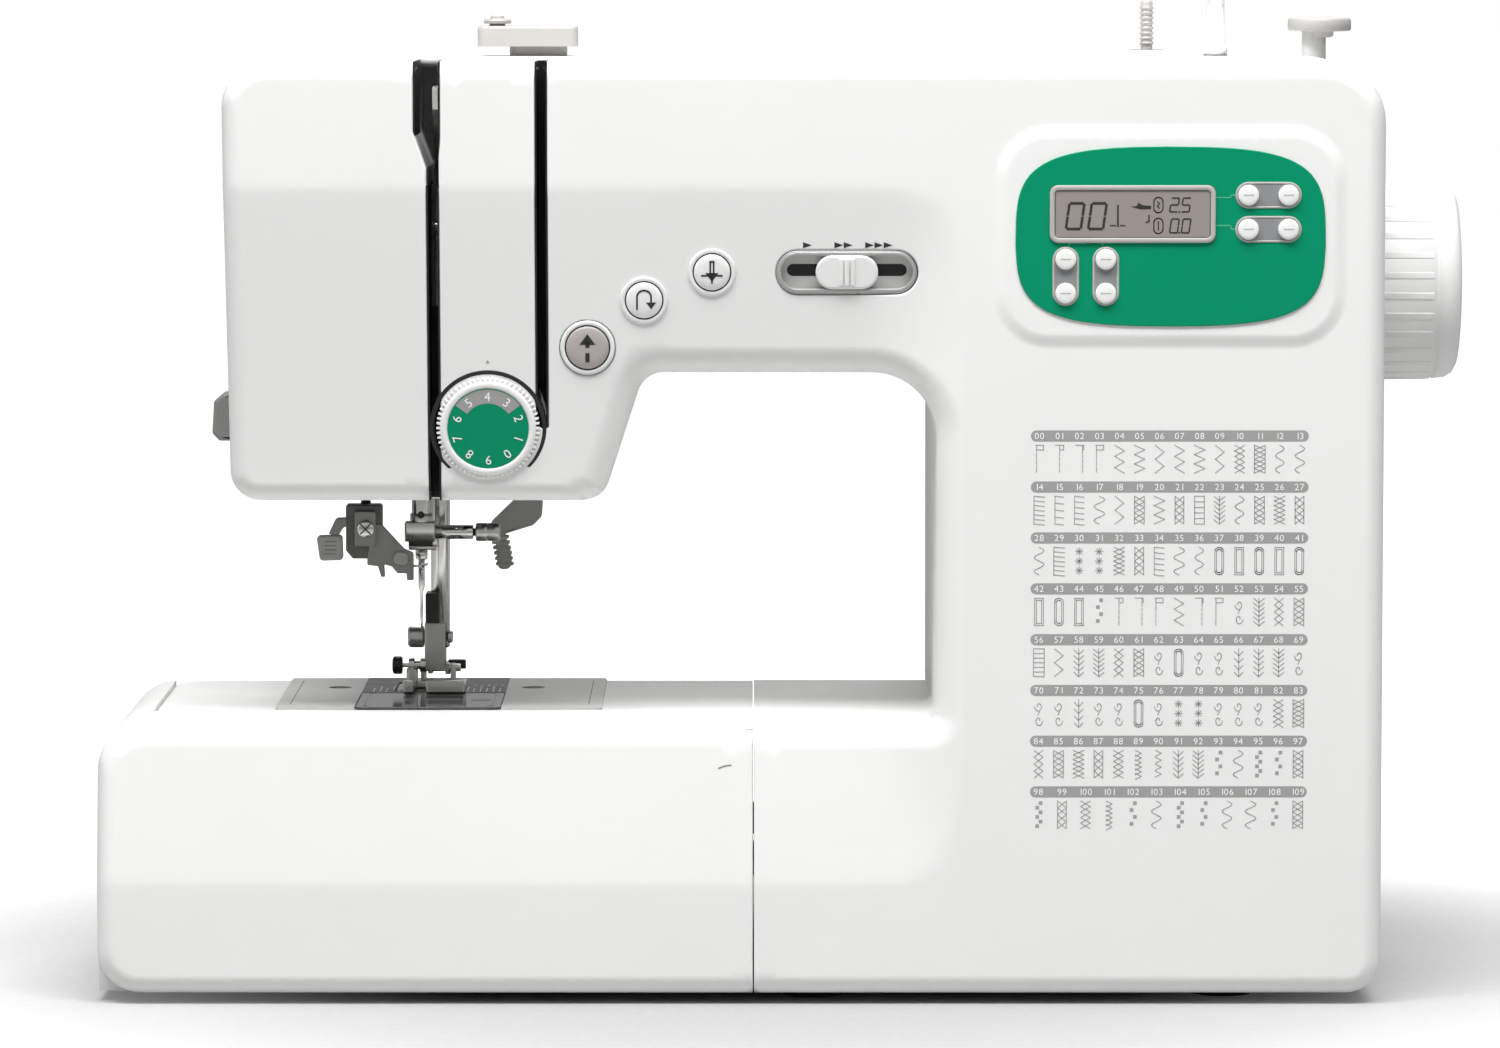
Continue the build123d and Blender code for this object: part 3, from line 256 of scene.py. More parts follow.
# ---- mesh helpers
class MeshBuffer:
    """Collects vertices and faces in millimetres, and turns them into one object in metres."""

    def __init__(self, finishes: Sequence[Finish]) -> None:
        """Start an empty buffer whose faces use the given finishes."""
        self.finishes = list(finishes)
        self.points: list[Point3] = []
        self.faces: list[tuple[int, ...]] = []
        self.slots: list[int] = []
        self.smooth: list[bool] = []

    def add(self, points: Iterable[Sequence[float]], faces: Iterable[Sequence[int]], slot: int = 0,
            smooth: bool = False) -> None:
        """Append one set of points and faces.

        Args:
            points: corners in millimetres.
            faces: corner numbers of each face, counted from this set's first.
            slot: finish index.
            smooth: smooth shading.
        """
        start = len(self.points)
        self.points.extend((float(p[0]), float(p[1]), float(p[2])) for p in points)
        for face in faces:
            self.faces.append(tuple(start + i for i in face))
            self.slots.append(slot)
            self.smooth.append(smooth)

    def prism(self, outline: Sequence[Point2], low: float, high: float, to3: To3,
              slot: int = 0, bevel: float = 0.0) -> None:
        """Extrude a convex or simple outline from low to high; to3 maps (a, b, height) to a point.

        Args:
            outline: counter-clockwise outline.
            low: height of the bottom.
            high: height of the top.
            to3: mapping into space.
            slot: finish index.
            bevel: inset of the top edge, in millimetres.
        """
        n = len(outline)
        loops: list[list[Point3]] = [[to3(a, b, low) for a, b in outline]]
        if bevel > 0:
            normals = outline_normals(outline)
            for turn in (0.0, 0.3, 0.6, 1.0):
                angle = turn * math.pi / 2
                inset = bevel * (1 - math.cos(angle))
                rise = high - bevel + bevel * math.sin(angle)
                loops.append([to3(a - nx * inset, b - ny * inset, rise) for (a, b), (nx, ny) in zip(outline, normals)])
        else:
            loops.append([to3(a, b, high) for a, b in outline])
        points = [p for loop in loops for p in loop]
        sides = []
        for k in range(len(loops) - 1):
            for i in range(n):
                j = (i + 1) % n
                sides.append((k * n + i, k * n + j, (k + 1) * n + j, (k + 1) * n + i))
        self.add(points, sides, slot, bevel > 0)
        if bevel > 0:
            cap = [tuple(t) for t in tessellate_polygon([[Vector((a, b, 0.0)) for a, b in outline]])]
        else:
            cap = [tuple(range(n))]
        self.add(loops[-1], cap, slot)
        self.add(loops[0], [tuple(reversed(face)) for face in cap], slot)

    def ribbon(self, path: Sequence[Point2], width: float, low: float, high: float,
               to3: To3, slot: int = 0, closed: bool = False) -> None:
        """Draw a flat line of constant width as a thin closed strip.

        Args:
            path: points of the line.
            width: width of the line.
            low: height of its underside.
            high: height of its face.
            to3: mapping into space.
            slot: finish index.
            closed: join the last point to the first.
        """
        pts = [np.array(p, float) for p in path]
        if closed:
            pts.append(pts[0])
        for a, b in zip(pts[:-1], pts[1:]):
            run = b - a
            length = float(np.hypot(*run))
            if length < 1e-6:
                continue
            side = np.array([-run[1], run[0]]) / length * width / 2
            ahead = run / length * width * 0.35
            quad = [a - ahead - side, b + ahead - side, b + ahead + side, a - ahead + side]
            self.prism([(q[0], q[1]) for q in quad], low, high, to3, slot)

    def band(self, loop: Sequence[Point2], width: float, low: float, high: float,
             to3: To3, slot: int = 0) -> None:
        """Closed band along a loop, with a rounded crown.

        Args:
            loop: middle line of the band, counter-clockwise.
            width: width of the band.
            low: height of its foot.
            high: height of its crown.
            to3: mapping into space.
            slot: finish index.
        """
        normals = outline_normals(loop)
        n = len(loop)
        soft = min(0.2, width * 0.3)
        section = [(-0.5, low), (-0.5, high - soft), (-0.32, high), (0.32, high), (0.5, high - soft), (0.5, low)]
        points = [to3(a + nx * s * width, b + nz * s * width, h) for s, h in section
                  for (a, b), (nx, nz) in zip(loop, normals)]
        m = len(section)
        faces = [(k * n + i, k * n + (i + 1) % n, (k + 1) % m * n + (i + 1) % n, (k + 1) % m * n + i)
                 for k in range(m) for i in range(n)]
        self.add(points, faces, slot, True)

    def build(self, name: str) -> Piece:
        """Make the object, merge doubled points and turn faces outwards.

        Args:
            name: name of the piece.

        Returns:
            The new object.
        """
        mesh = bpy.data.meshes.new(name)
        mesh.from_pydata([(x * MM, y * MM, z * MM) for x, y, z in self.points], [], self.faces)
        for finish in self.finishes:
            mesh.materials.append(finish.material())
        mesh.polygons.foreach_set("material_index", self.slots)
        mesh.polygons.foreach_set("use_smooth", self.smooth)
        work = bmesh.new()
        work.from_mesh(mesh)
        bmesh.ops.remove_doubles(work, verts=work.verts, dist=1e-7)
        bmesh.ops.recalc_face_normals(work, faces=work.faces)
        work.to_mesh(mesh)
        work.free()
        piece = bpy.data.objects.new(name, mesh)
        bpy.context.scene.collection.objects.link(piece)
        return piece


def unit(rows: np.ndarray) -> np.ndarray:
    """Rows scaled to length one."""
    return rows / np.maximum(np.linalg.norm(rows, axis=1, keepdims=True), 1e-9)


def outline_normals(outline: Sequence[Point2]) -> list[Point2]:
    """Outward unit normals at the corners of a counter-clockwise outline."""
    pts = np.array(outline, float)
    mean = unit(unit(np.roll(pts, -1, 0) - pts) + unit(pts - np.roll(pts, 1, 0)))
    return [(float(m[1]), float(-m[0])) for m in mean]


def rounded(corners: Sequence[tuple[float, float, float]], step_deg: float = 9.0) -> list[Point2]:
    """Polygon with filleted corners.

    Args:
        corners: (x, y, radius) of each corner, counter-clockwise.
        step_deg: angle between points on an arc.

    Returns:
        Points of the rounded outline.
    """
    out: list[Point2] = []
    n = len(corners)
    points = np.array([c[:2] for c in corners], float)
    to_next = np.roll(points, -1, 0) - points
    lengths = np.linalg.norm(to_next, axis=1)
    ahead = to_next / lengths[:, None]
    halves = [math.acos(max(-1.0, min(1.0, float(-ahead[i - 1] @ ahead[i])))) / 2 for i in range(n)]
    reaches = [c[2] / math.tan(half) for c, half in zip(corners, halves)]
    for i in range(n):
        together = reaches[i] + reaches[(i + 1) % n]
        if together > lengths[i]:
            reaches[i] *= lengths[i] / together
            reaches[(i + 1) % n] *= lengths[i] / together
    for i, (x, y, wanted) in enumerate(corners):
        p, a, b = points[i], -ahead[i - 1], ahead[i]
        if wanted <= 0:
            out.append((x, y))
            continue
        half, reach = halves[i], reaches[i]
        r = reach * math.tan(half)
        centre = p + (a + b) / np.linalg.norm(a + b) * r / math.sin(half)
        start = p + a * reach - centre
        end = p + b * reach - centre
        a0 = math.atan2(start[1], start[0])
        a1 = math.atan2(end[1], end[0])
        sweep = (a1 - a0 + math.pi) % (2 * math.pi) - math.pi
        count = max(2, int(abs(math.degrees(sweep)) / step_deg) + 1)
        for k in range(count + 1):
            t = a0 + sweep * k / count
            out.append((float(centre[0] + r * math.cos(t)), float(centre[1] + r * math.sin(t))))
    return out


def round_box(x: float, y: float, width: float, height: float, radius: float) -> list[Point2]:
    """Rounded rectangle, counter-clockwise.

    Args:
        x: middle across.
        y: middle upwards.
        width: full width.
        height: full height.
        radius: corner radius.

    Returns:
        Points of the outline.
    """
    w, h = width / 2, height / 2
    r = min(radius, w * 0.999, h * 0.999)
    return rounded([(x - w, y - h, r), (x + w, y - h, r), (x + w, y + h, r), (x - w, y + h, r)])


def disc(x: float, y: float, radius: float, count: int = 48) -> list[Point2]:
    """Circle as a polygon, counter-clockwise."""
    return [(x + radius * math.cos(2 * math.pi * k / count), y + radius * math.sin(2 * math.pi * k / count))
            for k in range(count)]


def resample(loop: Sequence[Point2], spacing: float) -> np.ndarray:
    """Add points so that no side of a closed loop is longer than a spacing.

    Args:
        loop: corners of the loop.
        spacing: longest side allowed.

    Returns:
        Points of the divided loop.
    """
    out = []
    n = len(loop)
    for i in range(n):
        a = np.array(loop[i], float)
        b = np.array(loop[(i + 1) % n], float)
        parts = max(1, int(math.ceil(np.linalg.norm(b - a) / spacing)))
        for k in range(parts):
            out.append(a + (b - a) * k / parts)
    return np.array(out)


def inside(points: np.ndarray, loop: np.ndarray) -> np.ndarray:
    """Find the points inside a closed loop.

    Args:
        points: points to test.
        loop: corners of the loop.

    Returns:
        True for each point inside.
    """
    x, y = points[:, 0][:, None], points[:, 1][:, None]
    x0, y0 = loop[:, 0][None], loop[:, 1][None]
    nxt = np.roll(loop, -1, 0)
    x1, y1 = nxt[:, 0][None], nxt[:, 1][None]
    spans = (y0 > y) != (y1 > y)
    slope = np.where(np.abs(y1 - y0) < 1e-12, 1e-12, y1 - y0)
    crossing = spans & (x < (x1 - x0) * (y - y0) / slope + x0)
    return crossing.sum(1) % 2 == 1


def distance(points: np.ndarray, a: np.ndarray, b: np.ndarray) -> tuple[np.ndarray, np.ndarray, np.ndarray]:
    """Distance of points to a set of straight sides.

    Args:
        points: points to measure from.
        a: starts of the sides.
        b: ends of the sides.

    Returns:
        Distance, index of the nearest side, and the nearest point on it.
    """
    best = np.full(len(points), 1e9)
    index = np.zeros(len(points), int)
    near = np.zeros((len(points), 2))
    run = (b - a)[None]
    for start in range(0, len(points), 2000):
        p = points[start:start + 2000, None]
        t = np.clip(((p - a[None]) * run).sum(2) / np.maximum((run ** 2).sum(2), 1e-12), 0, 1)
        foot = a[None] + run * t[..., None]
        d = np.sqrt(((p - foot) ** 2).sum(2))
        k = d.argmin(1)
        rows = np.arange(len(k))
        best[start:start + 2000] = d[rows, k]
        index[start:start + 2000] = k
        near[start:start + 2000] = foot[rows, k]
    return best, index, near


def cylinder_about(axis: str, centre: Point3) -> To3:
    """Mapping for prisms and lathes whose height runs along an axis from a centre.

    Args:
        axis: "x", "-y" or "z".
        centre: point at height zero.

    Returns:
        Mapping of (a, b, height) into space.
    """
    cx, cy, cz = centre
    if axis == "x":
        return lambda a, b, h: (cx + h, cy + a, cz + b)
    if axis == "-y":
        return lambda a, b, h: (cx + a, cy - h, cz + b)
    return lambda a, b, h: (cx + a, cy + b, cz + h)


UPWARD = cylinder_about("z", (0, 0, 0))
FORWARD = cylinder_about("-y", (0, 0, 0))


def lathe(buffer: MeshBuffer, profile: Sequence[Point2], to3: To3,
          slot: int = 0, count: int = 64, smooth: bool = True) -> None:
    """Turn a (radius, height) profile into a closed solid of revolution.

    Args:
        buffer: buffer that receives the mesh.
        profile: points from the bottom centre to the top centre.
        to3: mapping of (a, b, height) into space.
        slot: finish index.
        count: number of steps round the axis.
        smooth: smooth shading.
    """
    rings = [(r, h) for r, h in profile if r > 1e-6]
    points = [to3(r * math.cos(2 * math.pi * k / count), r * math.sin(2 * math.pi * k / count), h)
              for r, h in rings for k in range(count)]
    faces: list[tuple[int, ...]] = []
    for i in range(len(rings) - 1):
        for k in range(count):
            j = (k + 1) % count
            faces.append((i * count + k, i * count + j, (i + 1) * count + j, (i + 1) * count + k))
    last = (len(rings) - 1) * count
    buffer.add(points, faces, slot, smooth)
    buffer.add(points[:count], [tuple(reversed(range(count)))], slot)
    buffer.add(points[last:], [tuple(range(count))], slot)


def soften(piece: Piece, width: float, angle: float = 32.0, segments: int = 3) -> Piece:
    """Round a piece's sharp edges with a bevel and shade it smoothly.

    Args:
        piece: object to treat.
        width: bevel width in millimetres.
        angle: edges sharper than this are rounded.
        segments: steps across the bevel.

    Returns:
        The same object.
    """
    bevel = piece.modifiers.new("edge", "BEVEL")
    bevel.width = width * MM
    bevel.segments = segments
    bevel.limit_method = "ANGLE"
    bevel.angle_limit = math.radians(angle)
    bevel.harden_normals = True
    for face in piece.data.polygons:
        face.use_smooth = True
    return bake(piece)


def bake(piece: Piece) -> Piece:
    """Apply an object's modifiers to its mesh."""
    graph = bpy.context.evaluated_depsgraph_get()
    mesh = bpy.data.meshes.new_from_object(piece.evaluated_get(graph))
    piece.modifiers.clear()
    piece.data = mesh
    return piece


def settle(piece: Piece, body: str, slot: str, *nodes: str) -> Piece:
    """Ride a piece on a body and hide the nodes it stands for.

    Args:
        piece: finished object.
        body: moving body that carries it.
        slot: not used.
        nodes: nodes that it replaces.

    Returns:
        The same object.
    """
    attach(piece, body)
    if nodes:
        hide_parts(*nodes)
    LOG.info("%s rides on %s, %d faces", piece.name, body, len(piece.data.polygons))
    return piece


# ---- text
class Lettering:
    """Digits as thin raised ink, from the built-in font."""

    digit_height = 0.7
    ink = 0.04
    gap = 0.09

    def __init__(self) -> None:
        """Start with no glyphs made."""
        self.glyphs: dict[str, tuple[list[Point2], list[tuple[int, ...]], float]] = {}

    def glyph(self, letter: str) -> tuple[list[Point2], list[tuple[int, ...]], float]:
        """Flat mesh and advance width of one character at size 1."""
        if letter not in self.glyphs:
            curve = bpy.data.curves.new("glyph", "FONT")
            curve.body = letter
            curve.resolution_u = 3
            holder = bpy.data.objects.new("glyph", curve)
            bpy.context.scene.collection.objects.link(holder)
            graph = bpy.context.evaluated_depsgraph_get()
            mesh = bpy.data.meshes.new_from_object(holder.evaluated_get(graph))
            points = [(v.co.x, v.co.y) for v in mesh.vertices]
            faces = [tuple(f.vertices) for f in mesh.polygons]
            bpy.data.objects.remove(holder)
            bpy.data.curves.remove(curve)
            bpy.data.meshes.remove(mesh)
            width = max((p[0] for p in points), default=0.3) + self.gap
            self.glyphs[letter] = (points, faces, width)
        return self.glyphs[letter]

    def write(self, buffer: MeshBuffer, text: str, centre: Point2, height: float, lift: float,
              to3: To3, slot: int = 0, turn: float = 0.0) -> None:
        """Place a word centred on a point.

        Args:
            buffer: buffer that receives the ink.
            text: characters to write.
            centre: middle of the word.
            height: digit height in millimetres.
            lift: height of the ink's face above the surface.
            to3: mapping of (a, b, height) into space.
            slot: finish index.
            turn: rotation in radians.
        """
        size = height / self.digit_height
        width = sum(self.glyph(c)[2] for c in text) * size
        pen = -width / 2
        cos, sin = math.cos(turn), math.sin(turn)
        for letter in text:
            points, faces, advance = self.glyph(letter)
            placed = []
            for x, y in points:
                u = pen + x * size
                v = y * size - height / 2
                placed.append((centre[0] + u * cos - v * sin, centre[1] + u * sin + v * cos))
            pen += advance * size
            count = len(placed)
            top = [to3(a, b, lift) for a, b in placed]
            low = [to3(a, b, lift - self.ink) for a, b in placed]
            edges: dict[tuple[int, int], int] = {}
            for face in faces:
                for i, j in zip(face, face[1:] + face[:1]):
                    edges[(i, j)] = 1
            rim = [(i, j) for (i, j) in edges if (j, i) not in edges]
            solid = list(faces) + [tuple(count + i for i in reversed(f)) for f in faces]
            solid += [(j, i, count + i, count + j) for i, j in rim]
            buffer.add(top + low, solid, slot)


LETTERS = Lettering()


# ---- body shells
@dataclass
class BodyForm:
    """Rule of the moulded front: a flat C-shaped band, and faces that lean back towards the work opening."""

    front: float
    crease_top: float = 244.3
    crease_bottom: float = 36.3
    crease_side: float = 53.0
    slope: float = 0.143
    side_slope: float = 0.34
    blend: float = 2.2
    softness: float = 0.16
    pad_x: float = 113.8
    pad_z: float = 229.9
    pad_half_x: float = 36.0
    pad_half_z: float = 16.7
    pad_corner: float = 12.0
    pad_fade: float = 5.0
    pad_height: float = 1.0

    def y(self, x: np.ndarray, z: np.ndarray) -> np.ndarray:
        """Depth of the surface, without edge rounding.

        Args:
            x: places across.
            z: places upwards.

        Returns:
            Y of the surface at each place.
        """
        k = self.blend
        leans = (self.slope * (self.crease_top - z), self.side_slope * (self.crease_side - x),
                 self.slope * (z - self.crease_bottom))
        low = -k * np.log(sum(np.exp(-np.clip(lean, -60, 60) / k) for lean in leans))
        recess = 0.5 * (low + np.sqrt(low * low + self.softness ** 2))
        qx = np.maximum(np.abs(x - self.pad_x) - self.pad_half_x, 0)
        qz = np.maximum(np.abs(z - self.pad_z) - self.pad_half_z, 0)
        t = np.clip(1.0 - (np.hypot(qx, qz) - self.pad_corner) / self.pad_fade, 0, 1)
        return self.front + recess - self.pad_height * t * t * (3 - 2 * t)

    def at(self, x: float, z: float) -> float:
        """Depth of the surface at one point."""
        return float(self.y(np.array([x]), np.array([z]))[0])

    def ink(self, a: float, b: float, h: float) -> Point3:
        """Point at height h over the surface at (a, b)."""
        return a, self.at(a, b) - h, b


FORM = BodyForm(front=-87.5)


@dataclass
class Hole:
    """Opening in a shell: its outline and the radius of its rim."""

    loop: list[Point2]
    rim: float = 0.5


@dataclass
class FrontShell:
    """Moulded shell seen from the front, with rounded edges, side walls and a real wall thickness."""

    name: str
    form: BodyForm
    corners: list[Corner]
    radius_at: Callable[[float, float], float]
    back: float
    holes: list[Hole]
    wall: float = 2.4
    lip: Callable[[float, float], float] | None = None
    spacing: float = 2.4
    grid: float = 5.0
    turns: tuple[float, ...] = (15, 30, 45, 60, 75, 90)
    lip_probe: Point2 = (-100.0, 84.5)  # a place where a lip reaches furthest back

    def build(self, finish: Finish) -> Piece:
        """Make the closed shell.

        Args:
            finish: surface finish.

        Returns:
            The new object.
        """
        self._trace()
        points = self._points()
        tris = self._triangles(points)
        depth, normal = self._surface(points)
        outer = np.stack([points[:, 0], depth, points[:, 1]], 1)
        inner = outer - normal * self.wall
        deepest = max(self.back, self.lip(*self.lip_probe)) if self.lip else self.back
        inner[:, 1] = np.minimum(inner[:, 1], deepest - 0.05)
        return self._assemble(finish, outer, inner, tris, normal)

    def _trace(self) -> None:
        """Lay out every edge: starts, ends, the side the air is on, and the radius."""
        loops = [resample(rounded(self.corners), self.spacing)]
        loops += [resample(hole.loop, 1.8) for hole in self.holes]
        self.loops = loops
        self.a = np.concatenate(loops)
        self.b = np.concatenate([np.roll(loop, -1, 0) for loop in loops])
        run = unit(self.b - self.a)
        sign = np.concatenate([np.full(len(loop), 1.0 if i == 0 else -1.0) for i, loop in enumerate(loops)])
        self.air = np.stack([run[:, 1], -run[:, 0]], 1) * sign[:, None]
        mid = (self.a + self.b) / 2
        rims = [self.radius_at(x, z) for x, z in mid[:len(loops[0])]]
        for hole, loop in zip(self.holes, loops[1:]):
            rims += [hole.rim] * len(loop)
        self.rim = np.array(rims)

    def _edge_air(self) -> np.ndarray:
        """Direction to the air at each edge point, halfway between its two sides."""
        before = np.concatenate([np.roll(self.air[s:s + n], 1, 0) for s, n in self._spans()])
        return unit(self.air + before)

    def _reach(self, points: np.ndarray, radius: float) -> tuple[np.ndarray, np.ndarray, np.ndarray]:
        """Distance to the edges of one radius, the direction to them, and the edge index."""
        pick = np.flatnonzero(self.rim == radius)
        d, k, near = distance(points, self.a[pick], self.b[pick])
        away = (near - points) / np.maximum(d, 1e-6)[:, None]
        away = np.where((d < 0.02)[:, None], self.air[pick][k], away)
        return d, away, pick[k]

    def _surface(self, points: np.ndarray) -> tuple[np.ndarray, np.ndarray]:
        """Exact depth and shading normal of the rounded surface."""
        x, z = points[:, 0], points[:, 1]
        h = 0.05
        gx = (self.form.y(x + h, z) - self.form.y(x - h, z)) / (2 * h)
        gz = (self.form.y(x, z + h) - self.form.y(x, z - h)) / (2 * h)
        plain = unit(np.stack([gx, -np.ones(len(x)), gz], 1))
        normal = plain.copy()
        most = np.zeros(len(x))
        for radius in np.unique(self.rim):
            d, away, _ = self._reach(points, radius)
            lean = np.clip((radius - d) / radius, 0, 1)
            extra = radius * (1 - np.sqrt(np.maximum(1 - lean ** 2, 0)))
            turned = plain * np.sqrt(np.maximum(1 - lean ** 2, 0))[:, None]
            turned = unit(turned + np.stack([away[:, 0] * lean, np.zeros(len(x)), away[:, 1] * lean], 1))
            better = extra > most
            normal = np.where(better[:, None], turned, normal)
            most = np.maximum(most, extra)
        edge = np.arange(len(x)) < len(self.a)
        corner = self._edge_air()
        normal[edge] = np.stack([corner[:, 0], np.zeros(len(corner)), corner[:, 1]], 1)
        most[edge] = np.maximum(most[edge], np.maximum(self.rim, np.concatenate(
            [np.roll(self.rim[s:s + n], 1) for s, n in self._spans()])))
        return self.form.y(x, z) + most, normal

    def _spans(self) -> list[tuple[int, int]]:
        """Start and length of each loop in the list of edges."""
        starts = np.cumsum([0] + [len(loop) for loop in self.loops])
        return [(int(s), len(loop)) for s, loop in zip(starts, self.loops)]

    def _points(self) -> np.ndarray:
        """Edge points first, then rings that follow each edge, then the creases and a plain grid."""
        fixed = self.a
        taken = [fixed]
        way = self._edge_air()
        steps = [1 - math.cos(math.radians(turn)) for turn in self.turns]
        for level in range(len(steps) + 1):
            reach = self.rim * steps[level] if level < len(steps) else self.rim + 1.6
            cand = fixed - way * reach[:, None]
            d, _, _ = distance(cand, self.a, self.b)
            taken.append(cand[self._within(cand) & (d > reach * 0.93)])
        low, high = fixed.min(0), fixed.max(0)
        widest = self.rim.max()
        gx, gz = np.arange(low[0], high[0], self.grid), np.arange(low[1], high[1], self.grid)
        mesh = np.array([(a + (self.grid / 2 if j % 2 else 0), b) for j, b in enumerate(gz) for a in gx])
        lines = [(a, level + off) for level in (self.form.crease_top, self.form.crease_bottom)
                 for off in (-1.6, -0.8, 0.0, 0.8, 1.6) for a in np.arange(low[0], self.form.crease_side, 3.0)]
        lines += [(self.form.crease_side + off, b) for off in (-3.0, -1.8, -0.8, 0.0, 0.8)
                  for b in np.arange(low[1], high[1], 3.0)]
        form = self.form
        for grow in (12.0, 13.2, 14.5, 15.8, 17.0):
            ring = round_box(form.pad_x, form.pad_z, 2 * (form.pad_half_x + grow), 2 * (form.pad_half_z + grow), grow)
            lines += [tuple(p) for p in resample(ring, 2.5)]
        for cand in (np.array(lines), mesh):
            d, _, _ = distance(cand, self.a, self.b)
            cand = cand[self._within(cand) & (d > widest * 0.5)]
            have = np.concatenate(taken)
            free = np.ones(len(cand), bool)
            for start in range(0, len(cand), 1000):
                gap = np.linalg.norm(cand[start:start + 1000, None] - have[None], axis=2).min(1)
                free[start:start + 1000] = gap > 0.7
            taken.append(cand[free])
        return np.concatenate(taken)

    def _within(self, points: np.ndarray) -> np.ndarray:
        """Points in the outline and outside every hole."""
        good = inside(points, self.loops[0])
        for loop in self.loops[1:]:
            good &= ~inside(points, loop)
        return good

    def _triangles(self, points: np.ndarray) -> np.ndarray:
        """Triangulate between the outline and the holes."""
        edges = [(s + i, s + (i + 1) % n) for s, n in self._spans() for i in range(n)]
        _, _, faces, origin, _, _ = delaunay_2d_cdt([Vector(p) for p in points], edges, [], 0, 1e-7)
        source = [o[0] if o else -1 for o in origin]
        tris = np.array([[source[i] for i in face] for face in faces if len(face) == 3])
        tris = tris[(tris >= 0).all(1)]
        tris = tris[self._within(points[tris].mean(1))]
        a, b, c = points[tris[:, 0]], points[tris[:, 1]], points[tris[:, 2]]
        area = (b[:, 0] - a[:, 0]) * (c[:, 1] - a[:, 1]) - (b[:, 1] - a[:, 1]) * (c[:, 0] - a[:, 0])
        tris = np.where((area < 0)[:, None], tris[:, ::-1], tris)
        return tris[np.abs(area) > 1e-9]

    def _assemble(self, finish: Finish, outer: np.ndarray, inner: np.ndarray, tris: np.ndarray,
                  normal: np.ndarray) -> Piece:
        """Join front, lining, walls and rims into one closed mesh with set normals."""
        n = len(outer)
        count = self._spans()[0][1]
        far_out, far_in = outer[:count].copy(), inner[:count].copy()
        far_out[:, 1] = far_in[:, 1] = [self.lip(p[0], p[2]) if self.lip else self.back for p in far_out]
        pts = np.concatenate([outer, inner, far_out, far_in])
        p0, p1 = 2 * n, 2 * n + count
        faces: list[tuple[int, ...]] = []
        loops: list[np.ndarray] = []
        behind = np.array([0.0, 1.0, 0.0])
        for t in tris:
            faces.append(tuple(int(i) for i in t))
            loops += [normal[i] for i in t]
        for t in tris[:, ::-1]:
            faces.append(tuple(int(i) + n for i in t))
            loops += [behind] * 3
        for i in range(count):
            j = (i + 1) % count
            faces += [(i, p0 + i, p0 + j, j), (n + j, p1 + j, p1 + i, n + i), (p0 + i, p1 + i, p1 + j, p0 + j)]
            air = np.array([self.air[i][0], 0.0, self.air[i][1]])
            u, v = (normal[i], normal[j]) if float(normal[i] @ normal[j]) > 0.8 else (air, air)
            loops += [u, u, v, v] + [-air] * 4 + [behind] * 4
        for start, size in self._spans()[1:]:
            for i in range(size):
                u, v = start + i, start + (i + 1) % size
                faces.append((v, u, n + u, n + v))
                air = np.array([self.air[u][0], 0.0, self.air[u][1]])
                loops += [air] * 4
        mesh = bpy.data.meshes.new(self.name)
        mesh.from_pydata([tuple(p) for p in pts * MM], [], faces)
        mesh.materials.append(finish.material())
        mesh.polygons.foreach_set("use_smooth", [True] * len(faces))
        mesh.normals_split_custom_set([tuple(float(c) for c in v) for v in loops])
        piece = bpy.data.objects.new(self.name, mesh)
        bpy.context.scene.collection.objects.link(piece)
        return piece


# ---- places from the frame
@dataclass(frozen=True)
class Place:
    """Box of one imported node, in millimetres."""

    low: np.ndarray
    high: np.ndarray

    @property
    def middle(self) -> np.ndarray:
        """Centre of the box."""
        return (self.low + self.high) / 2

    @property
    def size(self) -> np.ndarray:
        """Edge lengths of the box."""
        return self.high - self.low


def place(node: str) -> Place:
    """Box of a node at rest, in millimetres."""
    low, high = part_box(node)
    return Place(np.array(low) / MM, np.array(high) / MM)


# ---- plain CAD dressing
@dataclass
class Dressing:
    """Gives a real finish to the nodes whose CAD shape is already right."""

    finishes: dict[str, Finish]

    def apply(self) -> None:
        """Put each finish into the node's own material slots."""
        for node, finish in self.finishes.items():
            piece = bpy.data.objects.get(node)
            if piece is None:
                LOG.warning("no node %s", node)
                continue
            if not piece.material_slots:
                piece.data.materials.append(finish.material())
            for holder in piece.material_slots:
                holder.material = finish.material()
            LOG.info("%s finished in %s", node, finish.name)


DRESSING = Dressing({node: finish for finish, nodes in (
    (WHITE_ABS, "front_cover rear_cover free_arm_cover spool_pin_base handwheel flat_bed storage_door"),
    (BLACK_OXIDE, "cover_screws plate_screws needle_plate main_motor"),
    (CAST_ALLOY, "inner_frame"),
    (RUBBER, "rubber_feet timing_belt"),
    (PALE_GREY, "needle_plate_cover handle_brackets carry_handle"),
    (BLACK_NYLON, "bobbin_case tension_ring side_sockets power_switch"),
    (LAMP, "led_lamp"),
    # the thread slot's inside is painted black as its shade
    (SLOT_SHADE_BLACK, "thread_channel"),
    (SILVER_TRIM, "button_rings slider_frame"),
    (GREEN_FILM, "control_panel"),
    (DISPLAY, "lcd_module"),
    (SOLDER_MASK, "main_board"),
    (GREY_ABS, "top_thread_guide bobbin_stop start_stop_button spool_pin"),
    (SATIN_STEEL, "upper_shaft lower_shaft rotary_hook needle_clamp foot_holder presser_foot feed_dog"),
    (CLEAR, "bobbin bobbin_cover"),
    (CHROME, "needle_bar needle take_up_lever presser_bar"),
    (MID_GREY, "presser_lifter needle_threader"),
    (WHITE_KNOB, "tension_dial reverse_button needle_position_button speed_slider bobbin_winder"
     + "".join(f" panel_key_{i}" for i in range(1, 9))),
) for node in nodes.split()})


